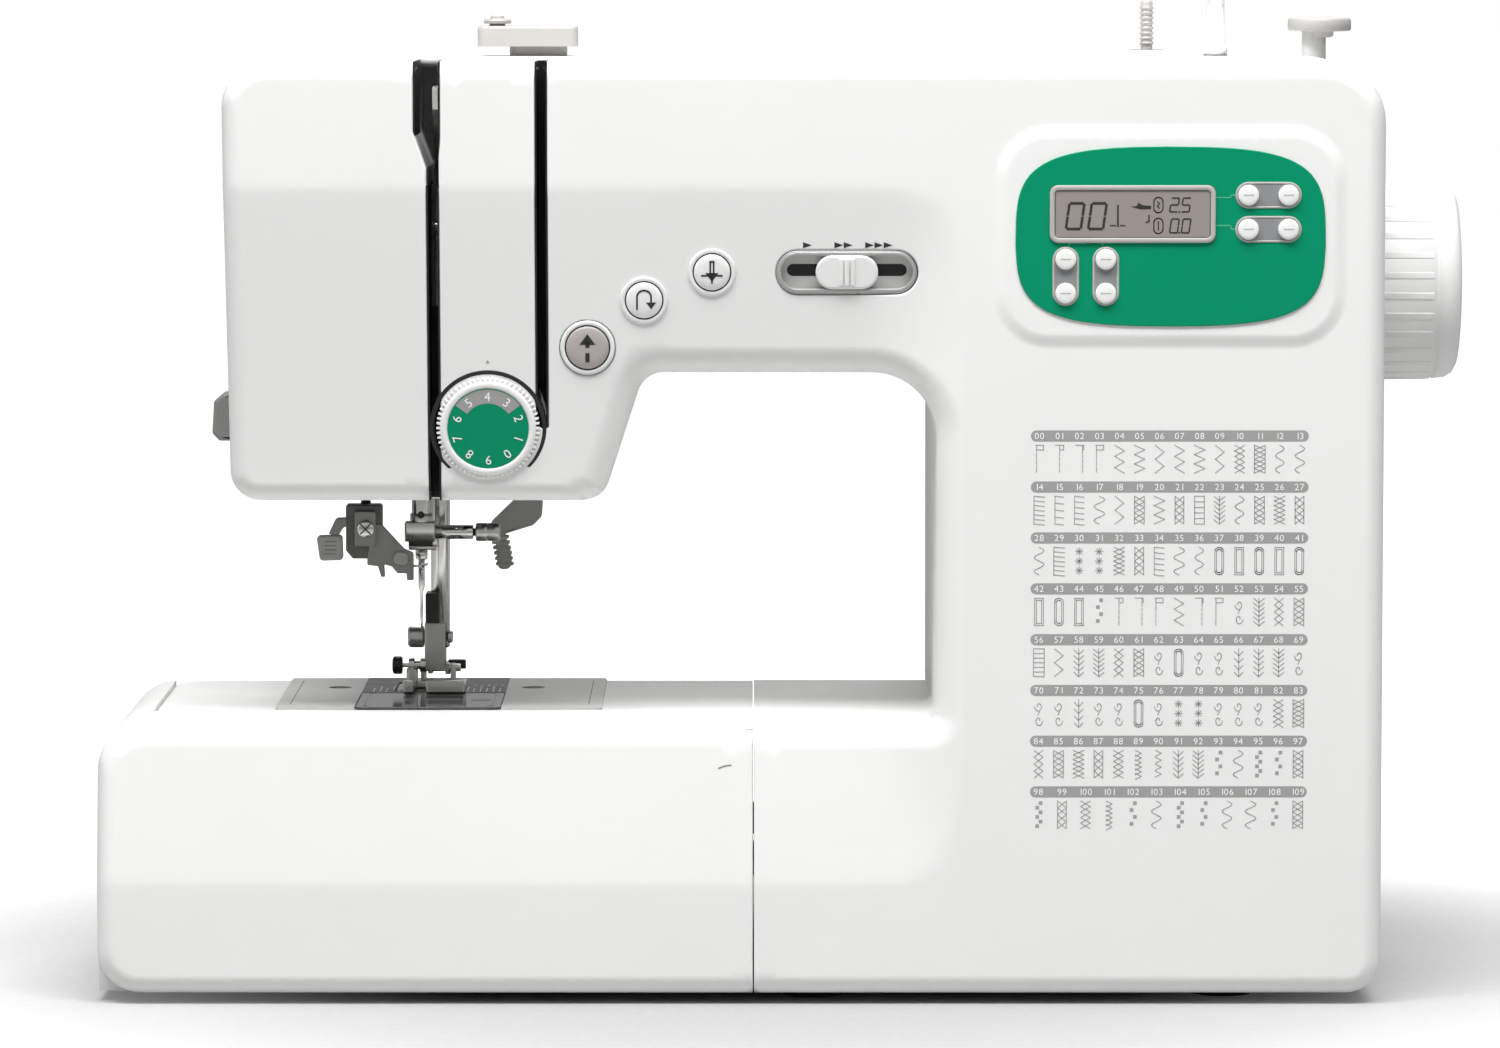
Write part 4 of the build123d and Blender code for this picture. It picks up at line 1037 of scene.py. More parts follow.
# ---- main shell of the body
@dataclass
class Housing:
    """Front cover and needle-side cover in two mouldings, split by the thread slot."""

    left: float = -168.0
    right: float = 178.0
    top: float = 282.0
    foot: float = 3.0
    seam_x: float = -9.7
    bed_top: float = 84.5
    back: float = -20.0
    slot_left: tuple[float, float] = (-106.95, -103.25)
    slot_wide: tuple[float, float] = (-110.8, -102.8)
    slot_right: tuple[float, float] = (-74.75, -71.05)
    slot_step: float = 253.0
    dial_z: float = 172.4

    def radius_at(self, x: float, z: float) -> float:
        """Edge radius of the outline at a point."""
        if x < self.slot_right[1] + 0.3 and x > self.slot_wide[0] - 0.3 and z > 150.2:
            near = min(abs(x - s) for s in (*self.slot_left, *self.slot_wide, *self.slot_right))
            between = self.slot_wide[0] < x < self.slot_wide[1] or self.slot_right[0] < x < self.slot_right[1]
            if near < 0.3 or (z < self.top - 0.3 and between):
                return 0.6
        if abs(x - self.seam_x) < 0.05 and z < self.bed_top:
            return 0.5
        if -60.0 < x < 46.0 and self.foot + 1 < z < 190.0:
            return 8.5
        return 6.0

    def main_corners(self) -> list[Corner]:
        """Outline of the arm and column, anticlockwise."""
        r0, r1 = self.slot_right
        return [
            (self.seam_x, self.foot, 0), (self.right, self.foot, 10.5), (self.right, self.top, 18.7),
            (r1, self.top, 0.8), (r1, self.dial_z, 0.4), (r0, self.dial_z, 0.4), (r0, self.top, 0.8),
            (self.slot_wide[1], self.top, 0.8), (self.slot_wide[1], self.slot_step + 6, 1.0),
            (self.slot_left[1], self.slot_step, 1.0), (self.slot_left[1], 150.0, 0.5),
            (-55.0, 150.0, 8), (-42.5, 188.6, 8), (44.7, 188.6, 19), (44.7, self.bed_top, 3.0),
            (self.seam_x, self.bed_top, 0),
        ]

    def side_corners(self) -> list[Corner]:
        """Outline of the needle-side cover, anticlockwise."""
        return [
            (self.left, self.top, 14), (-166.5, 150.0, 9), (self.slot_left[0], 150.0, 0.5),
            (self.slot_left[0], self.slot_step - 3, 1.0), (self.slot_wide[0], self.slot_step + 8, 1.0),
            (self.slot_wide[0], self.top, 0.8),
        ]

    def build(self) -> None:
        """Make both mouldings and the bridges behind the slots."""
        holes = [Hole(disc(-59.3, 196.5, 8.4), 0.6), Hole(disc(-42.4, 210.7, 6.9), 0.6),
                 Hole(disc(-22.2, 219.1, 6.9), 0.6), Hole(round_box(17.9, 219.1, 42.4, 13.3, 6.6), 0.6)]
        main = FrontShell("front_shell", FORM, self.main_corners(), self.radius_at, self.back, holes)
        settle(main.build(WHITE_ABS), "machine", "white_plastic", "front_cover")
        side = FrontShell("needle_side_shell", FORM, self.side_corners(), self.radius_at, self.back, [])
        settle(side.build(WHITE_ABS), "machine", "white_plastic", "front_cover")
        bridge = MeshBuffer([WHITE_ABS])
        for low, high, front in ((*self.slot_wide, -47.5), (*self.slot_right, -61.5)):
            self._plate(bridge, low - 0.2, high + 0.2, front, self.back, self.top - 2.6, self.top)
        self._plate(bridge, self.slot_left[0] - 0.2, self.slot_left[1] + 0.2, -61.5, self.back, 150.0, 152.6)
        settle(bridge.build("slot_bridges"), "machine", "white_plastic")

    @staticmethod
    def _plate(buffer: MeshBuffer, x0: float, x1: float, y0: float, y1: float, z0: float, z1: float) -> None:
        """Rectangular plate."""
        buffer.prism([(x0, y0), (x1, y0), (x1, y1), (x0, y1)], z0, z1, UPWARD, bevel=0.3)


# ---- accessory door
@dataclass
class StorageDoor:
    """Hinged front of the flat bed, with its finger mark."""

    left: float = -206.5
    right: float = -10.1
    foot: float = 3.0
    top: float = 84.5

    def radius_at(self, x: float, z: float) -> float:
        """Edge radius of the outline at a point."""
        if x > self.right - 0.2:
            return 0.5
        return 7.8 if z > self.top - 4 else 6.0

    def lip(self, x: float, z: float) -> float:
        """How far back the door's rim reaches: a lip wraps over the top and the upper left."""
        wraps = z > self.top - 0.3 or (z > 34.0 and x < self.left + 18.0)
        return -72.5 if wraps else -79.2

    def build(self) -> None:
        """Make the door and its small raised finger mark."""
        corners = [(self.left, self.foot, 13), (self.right, self.foot, 0), (self.right, self.top, 0),
                   (self.left, self.top, 15)]
        door = FrontShell("accessory_door", FORM, corners, self.radius_at, -79.2, [], wall=1.9, lip=self.lip)
        settle(door.build(WHITE_ABS), "storage_door", "white_plastic", "storage_door")
        mark = MeshBuffer([MID_GREY])
        mark.ribbon([(-20.3, 70.7), (-18.4, 71.4), (-16.6, 71.6)], 0.35, -0.2, 0.1, FORM.ink)
        settle(mark.build("door_finger_mark"), "storage_door", "light_grey_plastic")


# ---- repeats in geometry nodes
@dataclass
class Repeat:
    """Geometry Nodes tree that repeats one seed mesh in a row or round an axis, or both."""

    name: str
    count: int
    step: Point3 = (0.0, 0.0, 0.0)
    turn: Point3 = (0.0, 0.0, 0.0)
    tilt: Point3 = (0.0, 0.0, 0.0)
    centre: Point3 = (0.0, 0.0, 0.0)

    def _tree(self) -> Tree:
        """Make the tree: a line of points, turned instances, one final placing, real geometry, one finish."""
        tree = bpy.data.node_groups.new(self.name, "GeometryNodeTree")
        face = tree.interface
        face.new_socket("Seed", in_out="INPUT", socket_type="NodeSocketGeometry")
        for label, kind in (("Count", "NodeSocketInt"), ("Step", "NodeSocketVector"), ("Turn", "NodeSocketVector"),
                            ("Tilt", "NodeSocketRotation"), ("Centre", "NodeSocketVector"),
                            ("Finish", "NodeSocketMaterial")):
            face.new_socket(label, in_out="INPUT", socket_type=kind)
        face.new_socket("Result", in_out="OUTPUT", socket_type="NodeSocketGeometry")
        source = add_node(tree, "NodeGroupInput").outputs
        line = add_node(tree, "GeometryNodeMeshLine", {"Count": source["Count"], "Offset": source["Step"]})
        index = add_node(tree, "GeometryNodeInputIndex").outputs[0]
        turn = add_node(tree, "ShaderNodeVectorMath", {0: source["Turn"], "Scale": index}, operation="SCALE")
        placed = add_node(tree, "GeometryNodeInstanceOnPoints", {
            "Points": line.outputs[0], "Instance": source["Seed"], "Rotation": turn.outputs[0]})
        real = add_node(tree, "GeometryNodeRealizeInstances", {0: placed.outputs[0]})
        moved = add_node(tree, "GeometryNodeTransform", {"Geometry": real.outputs[0], "Rotation": source["Tilt"],
                                                         "Translation": source["Centre"]})
        dressed = add_node(tree, "GeometryNodeSetMaterial", {"Geometry": moved.outputs[0],
                                                             "Material": source["Finish"]})
        add_node(tree, "NodeGroupOutput", {0: dressed.outputs[0]})
        return tree

    def build(self, seed: Piece, finish: Finish) -> Piece:
        """Repeat the seed and return one plain mesh; sizes are in millimetres and radians.

        Args:
            seed: object whose mesh is repeated, about its own origin.
            finish: finish of the result.

        Returns:
            The same object with the repeated mesh.
        """
        tree = self._tree()
        modifier = seed.modifiers.new(self.name, "NODES")
        modifier.node_group = tree
        sockets = {item.name: item.identifier for item in tree.interface.items_tree if item.in_out == "INPUT"}
        modifier[sockets["Count"]] = self.count
        modifier[sockets["Step"]] = [v * MM for v in self.step]
        modifier[sockets["Turn"]] = list(self.turn)
        modifier[sockets["Tilt"]] = list(self.tilt)
        modifier[sockets["Centre"]] = [v * MM for v in self.centre]
        modifier[sockets["Finish"]] = finish.material()
        seed = bake(seed)
        seed.data.materials.clear()
        seed.data.materials.append(finish.material())
        seed.name = self.name
        return seed


# ---- control panel
@dataclass
class ControlPanel:
    """Green film panel with its display, key surrounds and callout lines."""

    centre: Point2 = (113.8, 229.9)
    width: float = 92.0
    height: float = 53.4
    film: float = -88.5
    thick: float = 0.55
    display: tuple[float, float, float, float] = (102.5, 236.6, 49.0, 16.9)

    def level(self) -> To3:
        """Mapping for things laid on the film, with height towards the user."""
        return lambda a, b, h: (a, self.film - h, b)

    def outline(self) -> list[Point2]:
        """Outline with four gently bowed sides and round corners."""
        cx, cz = self.centre
        w, h = self.width / 2, self.height / 2
        bow_x, bow_z = 1.4, 2.6
        power = 0.44
        steps = 120
        points: list[Point2] = []
        for k in range(steps):
            t = 2 * math.pi * k / steps
            c, s = math.cos(t), math.sin(t)
            x = w * math.copysign(abs(c) ** power, c)
            z = h * math.copysign(abs(s) ** power, s)
            x -= math.copysign(bow_x, x) * (z / h) ** 2
            z -= math.copysign(bow_z, z) * (x / w) ** 2
            points.append((cx + x, cz + z))
        return points

    def build(self) -> None:
        """Make the panel piece by piece, all riding on the machine."""
        film = MeshBuffer([GREEN_FILM])
        film.prism(self.outline(), -0.6, self.thick, self.level(), bevel=0.3)
        settle(film.build("panel_film"), "machine", "green_panel", "control_panel")
        self._surrounds()
        self._display()
        self._callouts()

    def _surrounds(self) -> None:
        """Grey pills behind each pair of keys, and key collars."""
        pills = MeshBuffer([Finish("mid_grey_abs", "#8F9092", 0.4, relief=0.03), GREY_ABS])
        t = self.thick
        for x, z, w, h in ((142.75, 242.2, 19.7, 7.9), (142.75, 232.1, 19.7, 7.9),
                           (82.7, 218.15, 7.9, 17.6), (94.6, 218.15, 7.9, 17.6)):
            pills.prism(round_box(x, z, w, h, 3.95), t - 0.1, t + 0.1, self.level(), 0)
            pills.band(round_box(x, z, w - 0.7, h - 0.7, 3.6), 0.7, t, t + 0.24, self.level(), 1)
        settle(pills.build("key_surrounds"), "machine", "light_grey_plastic")

    def _display(self) -> None:
        """Display bezel, cell and its fixed segments."""
        x, z, w, h = self.display
        t = self.thick
        cell = MeshBuffer([GREY_ABS, DISPLAY, SEGMENT, DARK_GREY])
        # Dark grey base plate: it shows only as a thin ring between the bezel and the cell, painted shade inside the
        # bezel.
        cell.prism(round_box(x, z, w, h, 1.6), t - 0.1, t + 0.2, self.level(), 3, bevel=0.1)
        cell.band(round_box(x, z, w - 1.3, h - 1.3, 1.9), 1.5, t, t + 0.75, self.level(), 0)
        cell.prism(round_box(x, z, w - 3.3, h - 3.3, 0.6), t + 0.1, t + 0.35, self.level(), 1)
        up = t + 0.42
        self._digits(cell, "00", (x - 14.3, z - 0.6), 4.4, 7.6, 0.75, up)
        self._digits(cell, "2.5", (x + 13.8, z + 2.7), 2.3, 4.1, 0.42, up)
        self._digits(cell, "0.0", (x + 13.8, z - 3.5), 2.3, 4.1, 0.42, up)
        for row, dz in ((0, 2.7), (1, -3.5)):
            ring = round_box(x + 7.6, z + dz, 2.7, 4.5, 1.3)
            cell.ribbon(ring, 0.3, t + 0.3, up, self.level(), 2, closed=True)
            marks = [[(-0.35, 1.0), (0.35, 0.4), (-0.35, -0.3), (0.35, -1.0)], [(0.0, 1.3), (0.0, -1.3)]][row]
            cell.ribbon([(x + 7.6 + a, z + dz + b) for a, b in marks], 0.3, t + 0.3, up, self.level(), 2)
        for path, stroke in (([(x - 4.4, z + 2.6), (x - 4.4, z - 3.6)], 0.5),
                             ([(x - 6.6, z - 3.4), (x - 5.1, z - 3.4)], 0.35),
                             ([(x - 3.7, z - 3.4), (x - 2.3, z - 3.4)], 0.35)):
            cell.ribbon(path, stroke, t + 0.3, up, self.level(), 2)
        cell.prism([(x - 0.6, z + 2.2), (x + 2.4, z + 1.4), (x + 5.4, z + 1.5), (x + 5.4, z + 2.4), (x + 3.0, z + 2.6),
                    (x + 1.6, z + 3.4), (x + 1.2, z + 2.4)], t + 0.3, up, self.level(), 2)
        cell.ribbon([(x + 4.8, z - 0.4), (x + 4.8, z - 2.2), (x + 3.9, z - 2.5)], 0.4, t + 0.3, up, self.level(), 2)
        settle(cell.build("display_cell"), "machine", "display", "lcd_module")

    def _digits(self, cell: MeshBuffer, text: str, centre: Point2, width: float, height: float, stroke: float,
                up: float) -> None:
        """Slanted seven-segment digits, with a point where the text has one.

        Args:
            cell: buffer that receives the digits.
            text: digits and points.
            centre: middle of the text.
            width: width of a digit.
            height: height of a digit.
            stroke: width of a segment.
            up: height of the segments' face.
        """
        bars = {"a": ((0, 1), (1, 1)), "b": ((1, 1), (1, 0.5)), "c": ((1, 0.5), (1, 0)), "d": ((0, 0), (1, 0)),
                "e": ((0, 0), (0, 0.5)), "f": ((0, 0.5), (0, 1)), "g": ((0, 0.5), (1, 0.5))}
        shapes = {"0": "abcdef", "2": "abged", "5": "afgcd"}
        letters = [c for c in text if c != "."]
        pitch = width * 1.5
        pen = centre[0] - pitch * (len(letters) - 1) / 2 - width / 2
        for c in text:
            if c == ".":
                x = pen - pitch * 0.17
                cell.prism(disc(x, centre[1] - height / 2, stroke * 0.7, 8), self.thick + 0.3, up, self.level(), 2)
                continue
            for bar in shapes[c]:
                (x0, z0), (x1, z1) = bars[bar]
                ends = []
                for a, b in ((x0, z0), (x1, z1)):
                    ends.append((pen + a * width + b * height * 0.14, centre[1] + (b - 0.5) * height))
                gap = stroke * 0.55
                cell.ribbon([self._toward(ends[0], ends[1], gap), self._toward(ends[1], ends[0], gap)],
                            stroke, self.thick + 0.3, up, self.level(), 2)
            pen += pitch

    @staticmethod
    def _toward(a: Point2, b: Point2, gap: float) -> Point2:
        """Point a moved towards b by a gap."""
        length = math.dist(a, b)
        return a[0] + (b[0] - a[0]) * gap / length, a[1] + (b[1] - a[1]) * gap / length

    def _callouts(self) -> None:
        """Thin printed lines that join the display to its keys."""
        ink = MeshBuffer([Finish("pale_green_ink", "#63BFA2", 0.4, relief=0.0), WHITE_INK])
        t = self.thick
        for path in ([(127.2, 241.5), (131.6, 241.5), (131.6, 242.2), (132.9, 242.2)],
                     [(127.2, 233.2), (131.6, 233.2), (131.6, 232.1), (132.9, 232.1)],
                     [(83.6, 227.3), (83.6, 228.0), (88.6, 228.0)], [(93.6, 227.3), (93.6, 228.0)]):
            ink.ribbon(path, 0.28, t - 0.05, t + 0.06, self.level(), 0)
        settle(ink.build("panel_lines"), "machine", "green_panel")


@dataclass
class PanelKeys:
    """Eight small white keys with a domed cap and a printed dash."""

    radius: float = 3.1
    proud: float = 1.0  # keeps a pressed cap above its grey pill

    def build(self) -> None:
        """Make one key for each packed key."""
        for number in range(1, 9):
            node = f"panel_key_{number}"
            spot = place(node)
            x, z, front = spot.middle[0], spot.middle[2], spot.low[1]
            key = MeshBuffer([WHITE_KNOB, Finish("pale_key_ink", "#B9B9B8", 0.5, relief=0.0)])
            r = self.radius
            to3 = cylinder_about("-y", (x, front - self.proud, z))
            lathe(key, [(r, -1.2 - self.proud), (r, -0.55), (r - 0.12, -0.3), (r - 0.4, -0.12), (r * 0.62, -0.05),
                        (0.4, 0.0)], to3, count=40)
            key.ribbon([(-1.4, 0.0), (1.4, 0.0)], 0.4, -0.15, 0.02, to3, 1)
            settle(key.build(f"{node}_cap"), node, "key_plastic", node)


# ---- stitch chart
class Motif(Enum):
    """Families of little stitch pictures on the chart, with their letter in the chart's order."""

    STRAIGHT = "S"
    ZIGZAG = "Z"
    CROSS = "X"
    COMB = "O"
    WAVE = "W"
    FRAME = "F"
    LEAF = "A"
    LADDER = "L"
    STAR = "T"
    CURL = "K"
    BLOCK = "B"
    ARROW = "R"


MOTIF_ORDER = ("SSSSZZZZZZXXWW" "OOOWZXZXLAWXXX" "WOTTXXOWWFFFFF" "FFFBSSSZSSKAXX"
               "LZAAXXKFKKAAAK" "KKAKKFKTTKKKXX" "XXXXXRRAABWBBX" "BXXRBWBBWWBX")


@dataclass
class StitchChart:
    """Printed table of stitches: grey bars with white numbers, and a picture under each number."""

    left: float = 72.6
    right: float = 155.2
    first_row: float = 170.6
    pitch: float = 15.2
    bar: float = 3.3
    picture: float = 8.3
    line: float = 0.25

    def build(self) -> None:
        """Print bars, numbers and pictures on the column."""
        middle, length = (self.left + self.right) / 2, self.right - self.left
        front = FORM.at(middle, 100.0)
        seed = MeshBuffer([CHART_INK])
        seed.prism(round_box(0, 0, length, self.bar, self.bar / 2), -0.1, 0.05, FORWARD)
        bars = Repeat("chart_bars", 8, step=(0, 0, -self.pitch), centre=(middle, front, self.first_row))
        settle(bars.build(seed.build("chart_bar"), CHART_INK), "machine", "light_grey_plastic")
        ink = MeshBuffer([WHITE_INK, CHART_INK])
        number = 0
        for row in range(8):
            cells = 12 if row == 7 else 14
            z = self.first_row - row * self.pitch
            for cell in range(cells):
                step = (length - 5.2) / (cells - 1)
                x = self.left + 2.6 + cell * step
                LETTERS.write(ink, f"{number:02d}", (x, z), 1.95, 0.11, FORM.ink, 0)
                self._picture(ink, Motif(MOTIF_ORDER[number]), (x - 0.05, z - 6.9), number)
                number += 1
        settle(ink.build("chart_print"), "machine", "light_grey_plastic")

    def _picture(self, ink: MeshBuffer, motif: Motif, centre: Point2, number: int) -> None:
        """Draw one stitch picture from lines of constant width.

        Args:
            ink: buffer that receives the lines.
            motif: family of the picture.
            centre: middle of the picture.
            number: stitch number, which varies the family.
        """
        x, z = centre
        h = self.picture / 2
        w = 1.3 + 0.15 * (number % 3)
        n = 4 + number % 3

        def draw(path: Sequence[Point2], closed: bool = False) -> None:
            """Add one line of the picture."""
            ink.ribbon([(x + a, z + b) for a, b in path], self.line, 0.0, 0.06, FORM.ink, 1, closed)

        levels = [h - 2 * h * k / n for k in range(n + 1)]
        if motif is Motif.STRAIGHT:
            shift = (-0.9, 0.0, 0.9)[number % 3]
            for top, low in zip(levels[:-1], levels[1:]):
                draw([(shift, top - 0.2), (shift, low + 0.2)])
            draw([(-1.2, h), (1.2, h), (1.2, h - 1.4), (shift, h - 1.4)])
        elif motif is Motif.ZIGZAG:
            draw([(w if k % 2 else -w, level) for k, level in enumerate(levels)])
        elif motif is Motif.CROSS:
            draw([(w if k % 2 else -w, level) for k, level in enumerate(levels)])
            draw([(-w if k % 2 else w, level) for k, level in enumerate(levels)])
            if number % 2:
                draw([(-w, h), (-w, -h)])
                draw([(w, h), (w, -h)])
        elif motif is Motif.COMB:
            draw([(-w, h), (-w, -h)])
            for level in levels:
                draw([(-w, level), (w, level - 0.3)])
        elif motif is Motif.WAVE:
            draw([(w * math.sin(4 * math.pi * k / 16), h - 2 * h * k / 16) for k in range(17)])
        elif motif is Motif.FRAME:
            r = 1.25 if number % 2 else 0.05
            draw([(a, b * 0.98) for a, b in round_box(0, 0, 2.6, 2 * h, max(r, 0.05))], True)
            draw([(a, b) for a, b in round_box(0, 0, 1.6, 2 * h - 1.4, max(r * 0.6, 0.05))], True)
        elif motif is Motif.LEAF:
            draw([(0, h), (0, -h)])
            for level in levels[1:]:
                draw([(-w, level + 1.3), (0, level), (w, level + 1.3)])
        elif motif is Motif.LADDER:
            draw([(-w, h), (-w, -h)])
            draw([(w, h), (w, -h)])
            for level in levels:
                draw([(-w, level), (w, level)])
        elif motif is Motif.STAR:
            for mid in (h - 1.3, 0.0, -h + 1.3):
                for turn in range(4):
                    c, s = math.cos(turn * math.pi / 4) * 1.1, math.sin(turn * math.pi / 4) * 1.1
                    draw([(-c, mid - s), (c, mid + s)])
        elif motif is Motif.CURL:
            for part, mid in enumerate((h - 2.0, -h + 2.0)):
                sign = 1 if part else -1
                draw([(sign * (0.35 + 0.9 * t / 10) * math.cos(t * 0.62),
                       mid + (0.4 + 1.4 * t / 10) * math.sin(t * 0.62)) for t in range(11)])
            draw([(0.2, 0.5), (-0.2, -0.5)])
        elif motif is Motif.BLOCK:
            for k, level in enumerate(levels[:-1]):
                side = -0.9 if k % 2 else 0.1
                box = [(side, level - 1.2), (side + 1.1, level - 1.2), (side + 1.1, level - 0.1), (side, level - 0.1)]
                ink.prism([(x + a, z + b) for a, b in box], 0.0, 0.05, FORM.ink, 1)
        elif motif is Motif.ARROW:
            for level in levels[:-1]:
                draw([(-0.9, level), (0.9, level - 0.9), (-0.9, level - 1.8)])


# ---- thread tension dial
@dataclass
class TensionDial:
    """Knurled dial set in the arm, with a green face and generic numbers."""

    origin: Point3 = (-89.1, -77.218, 172.4)
    radius: float = 15.3
    face: float = 12.3
    proud: float = 1.6
    teeth: int = 64

    def to3(self) -> To3:
        """Mapping onto the leaning front of the arm."""
        lean = math.atan(FORM.slope)
        c, s = math.cos(lean), math.sin(lean)
        ox, oy, oz = self.origin
        return lambda a, b, h: (ox + a, oy - h * c - b * s, oz - h * s + b * c)

    def build(self) -> None:
        """Make the dark seat, the dial body, its teeth and its print."""
        to3 = self.to3()
        seat = MeshBuffer([BLACK_NYLON])
        lathe(seat, [(17.5, -3.0), (17.5, 0.0), (17.3, 0.16), (16.5, 0.16), (16.0, -0.1), (15.95, -2.0), (2.0, -2.1)],
              to3, count=96)
        settle(seat.build("dial_seat"), "machine", "black_plastic", "tension_ring")
        r, p = self.radius, self.proud
        body = MeshBuffer([WHITE_KNOB, GREEN_INK, CHART_INK, WHITE_INK])
        lathe(body, [(r - 1.0, -1.8), (r - 0.95, -0.5), (r - 0.95, p - 0.6), (r - 1.3, p - 0.12), (r - 1.9, p),
                     (self.face + 0.5, p), (self.face + 0.1, p - 0.12), (self.face, p - 0.4), (1.0, p - 0.42)], to3,
              count=120)
        top = p - 0.3
        lathe(body, [(self.face - 0.15, top - 0.3), (self.face - 0.2, top), (0.5, top)], to3, 1, 96, smooth=False)
        arc = [(9.6 * math.sin(math.radians(t)), 9.6 * math.cos(math.radians(t))) for t in range(-54, 55, 6)]
        inner = [(x * 7.6 / 9.6, z * 7.6 / 9.6) for x, z in arc]
        outer = [(x * 11.9 / 9.6, z * 11.9 / 9.6) for x, z in arc]
        for k in range(len(arc) - 1):
            body.prism([inner[k], inner[k + 1], outer[k + 1], outer[k]][::-1], top - 0.1, top + 0.04, to3, 2)
        for number, turn in zip("4321098765", range(0, 360, 36)):
            t = math.radians(turn)
            LETTERS.write(body, number, (9.7 * math.sin(t), 9.7 * math.cos(t)), 2.75, top + 0.1, to3, 3, turn=-t)
        settle(body.build("tension_dial_cap"), "tension_dial", "white_plastic", "tension_dial")
        self._teeth()
        mark = MeshBuffer([CHART_INK])
        mark.prism([(-89.7, 191.8), (-88.5, 191.8), (-89.1, 192.8)], -0.2, 0.06, FORM.ink)
        settle(mark.build("dial_mark"), "machine", "light_grey_plastic")

    def _teeth(self) -> None:
        """Ring of fine teeth round the rim."""
        r, p = self.radius, self.proud
        pitch = 2 * math.pi * r / self.teeth
        seed = MeshBuffer([WHITE_KNOB])
        half = pitch * 0.34
        seed.prism([(r - 1.4, -half), (r + 0.15, -half * 0.5), (r + 0.15, half * 0.5), (r - 1.4, half)], -1.6, p - 0.45,
                   FORWARD, bevel=0.2)
        ring = Repeat("dial_teeth", self.teeth, turn=(0, 2 * math.pi / self.teeth, 0),
                      tilt=(math.atan(FORM.slope), 0, 0), centre=self.origin)
        settle(ring.build(seed.build("dial_tooth"), WHITE_KNOB), "tension_dial", "white_plastic")


# ---- buttons and speed slider
def leaning(x: float, z: float) -> To3:
    """Mapping about a point of the leaning face, with height towards the user."""
    front = FORM.at(x, z)
    return lambda a, b, h: (x + a, front - FORM.slope * b - h, z + b)


@dataclass
class PushButton:
    """Round push button in a thin trim ring, with a printed sign."""

    node: str
    x: float
    z: float
    radius: float
    cap: Finish
    ring: Finish
    sign: list[list[Point2]]
    arrows: list[Corner]
    stroke: float = 0.5

    def build(self) -> None:
        """Make the ring on the machine and the cap on its own body."""
        to3 = leaning(self.x, self.z)
        r = self.radius
        ring = MeshBuffer([self.ring, BLACK_NYLON])
        lathe(ring, [(r + 0.7, -4.0), (r + 1.75, -0.6), (r + 1.75, 0.25), (r + 1.5, 0.55), (r + 0.75, 0.62),
                     (r + 0.42, 0.45), (r + 0.38, 0.1), (r + 0.38, -2.35)], to3, count=72)
        # The dark cup is deeper than the press, so the cap never sinks through its floor. Its black is painted shade:
        # it darkens the thin gap round the cap.
        lathe(ring, [(r + 0.36, -2.3), (r + 0.36, 0.16), (r + 0.22, 0.16), (r + 0.22, -1.95)], to3, 1, count=72)
        settle(ring.build(f"{self.node}_ring"), "machine", "light_grey_plastic", "button_rings")
        cap = MeshBuffer([self.cap, BLACK_INK])
        lathe(cap, [(r, -0.7), (r, 0.35), (r - 0.2, 0.75), (r - 0.7, 1.0), (r * 0.6, 1.14), (r * 0.25, 1.2),
                    (0.3, 1.2)], to3, count=72)
        for path in self.sign:
            cap.ribbon(path, self.stroke, 1.0, 1.26, to3, 1)
        for x, z, size in self.arrows:
            tip = [(x - abs(size) * 0.75, z), (x + abs(size) * 0.75, z), (x, z + size)]
            cap.prism(tip if size > 0 else tip[::-1], 1.0, 1.26, to3, 1)
        settle(cap.build(f"{self.node}_cap"), self.node, "white_plastic", self.node)


def push_buttons() -> list[PushButton]:
    """The three buttons on the arm, from start to needle position."""
    turn = [(2.1 * math.cos(t * math.pi / 8), 1.1 + 1.9 * math.sin(t * math.pi / 8)) for t in range(9)]
    return [
        PushButton("start_stop_button", -59.3, 196.5, 6.4, Finish("warm_grey_abs", "#B7B1AF", 0.34, relief=0.03),
                   WHITE_ABS, [[(0.0, 0.4), (0.0, 1.6)], [(0.0, -3.9), (0.0, -2.0)]], [(0.0, 0.9, 3.2)], stroke=1.25),
        PushButton("reverse_button", -42.4, 210.7, 5.4, WHITE_KNOB, WHITE_ABS,
                   [[(-2.1, -2.6), (-2.1, 1.1)], turn[::-1], [(2.1, 1.1), (2.1, -0.6)]], [(2.1, -0.6, -2.0)]),
        PushButton("needle_position_button", -22.2, 219.1, 5.4, WHITE_KNOB, WHITE_ABS,
                   [[(-3.0, -1.0), (-1.0, -1.0)], [(1.0, -1.0), (3.0, -1.0)], [(-0.5, 3.2), (-0.5, -0.4)],
                    [(0.5, 3.2), (0.5, -0.4)], [(-0.5, 3.2), (0.5, 3.2)], [(0.0, -0.4), (0.0, -3.2)]],
                   [(0.0, -0.2, -2.6)]),
    ]


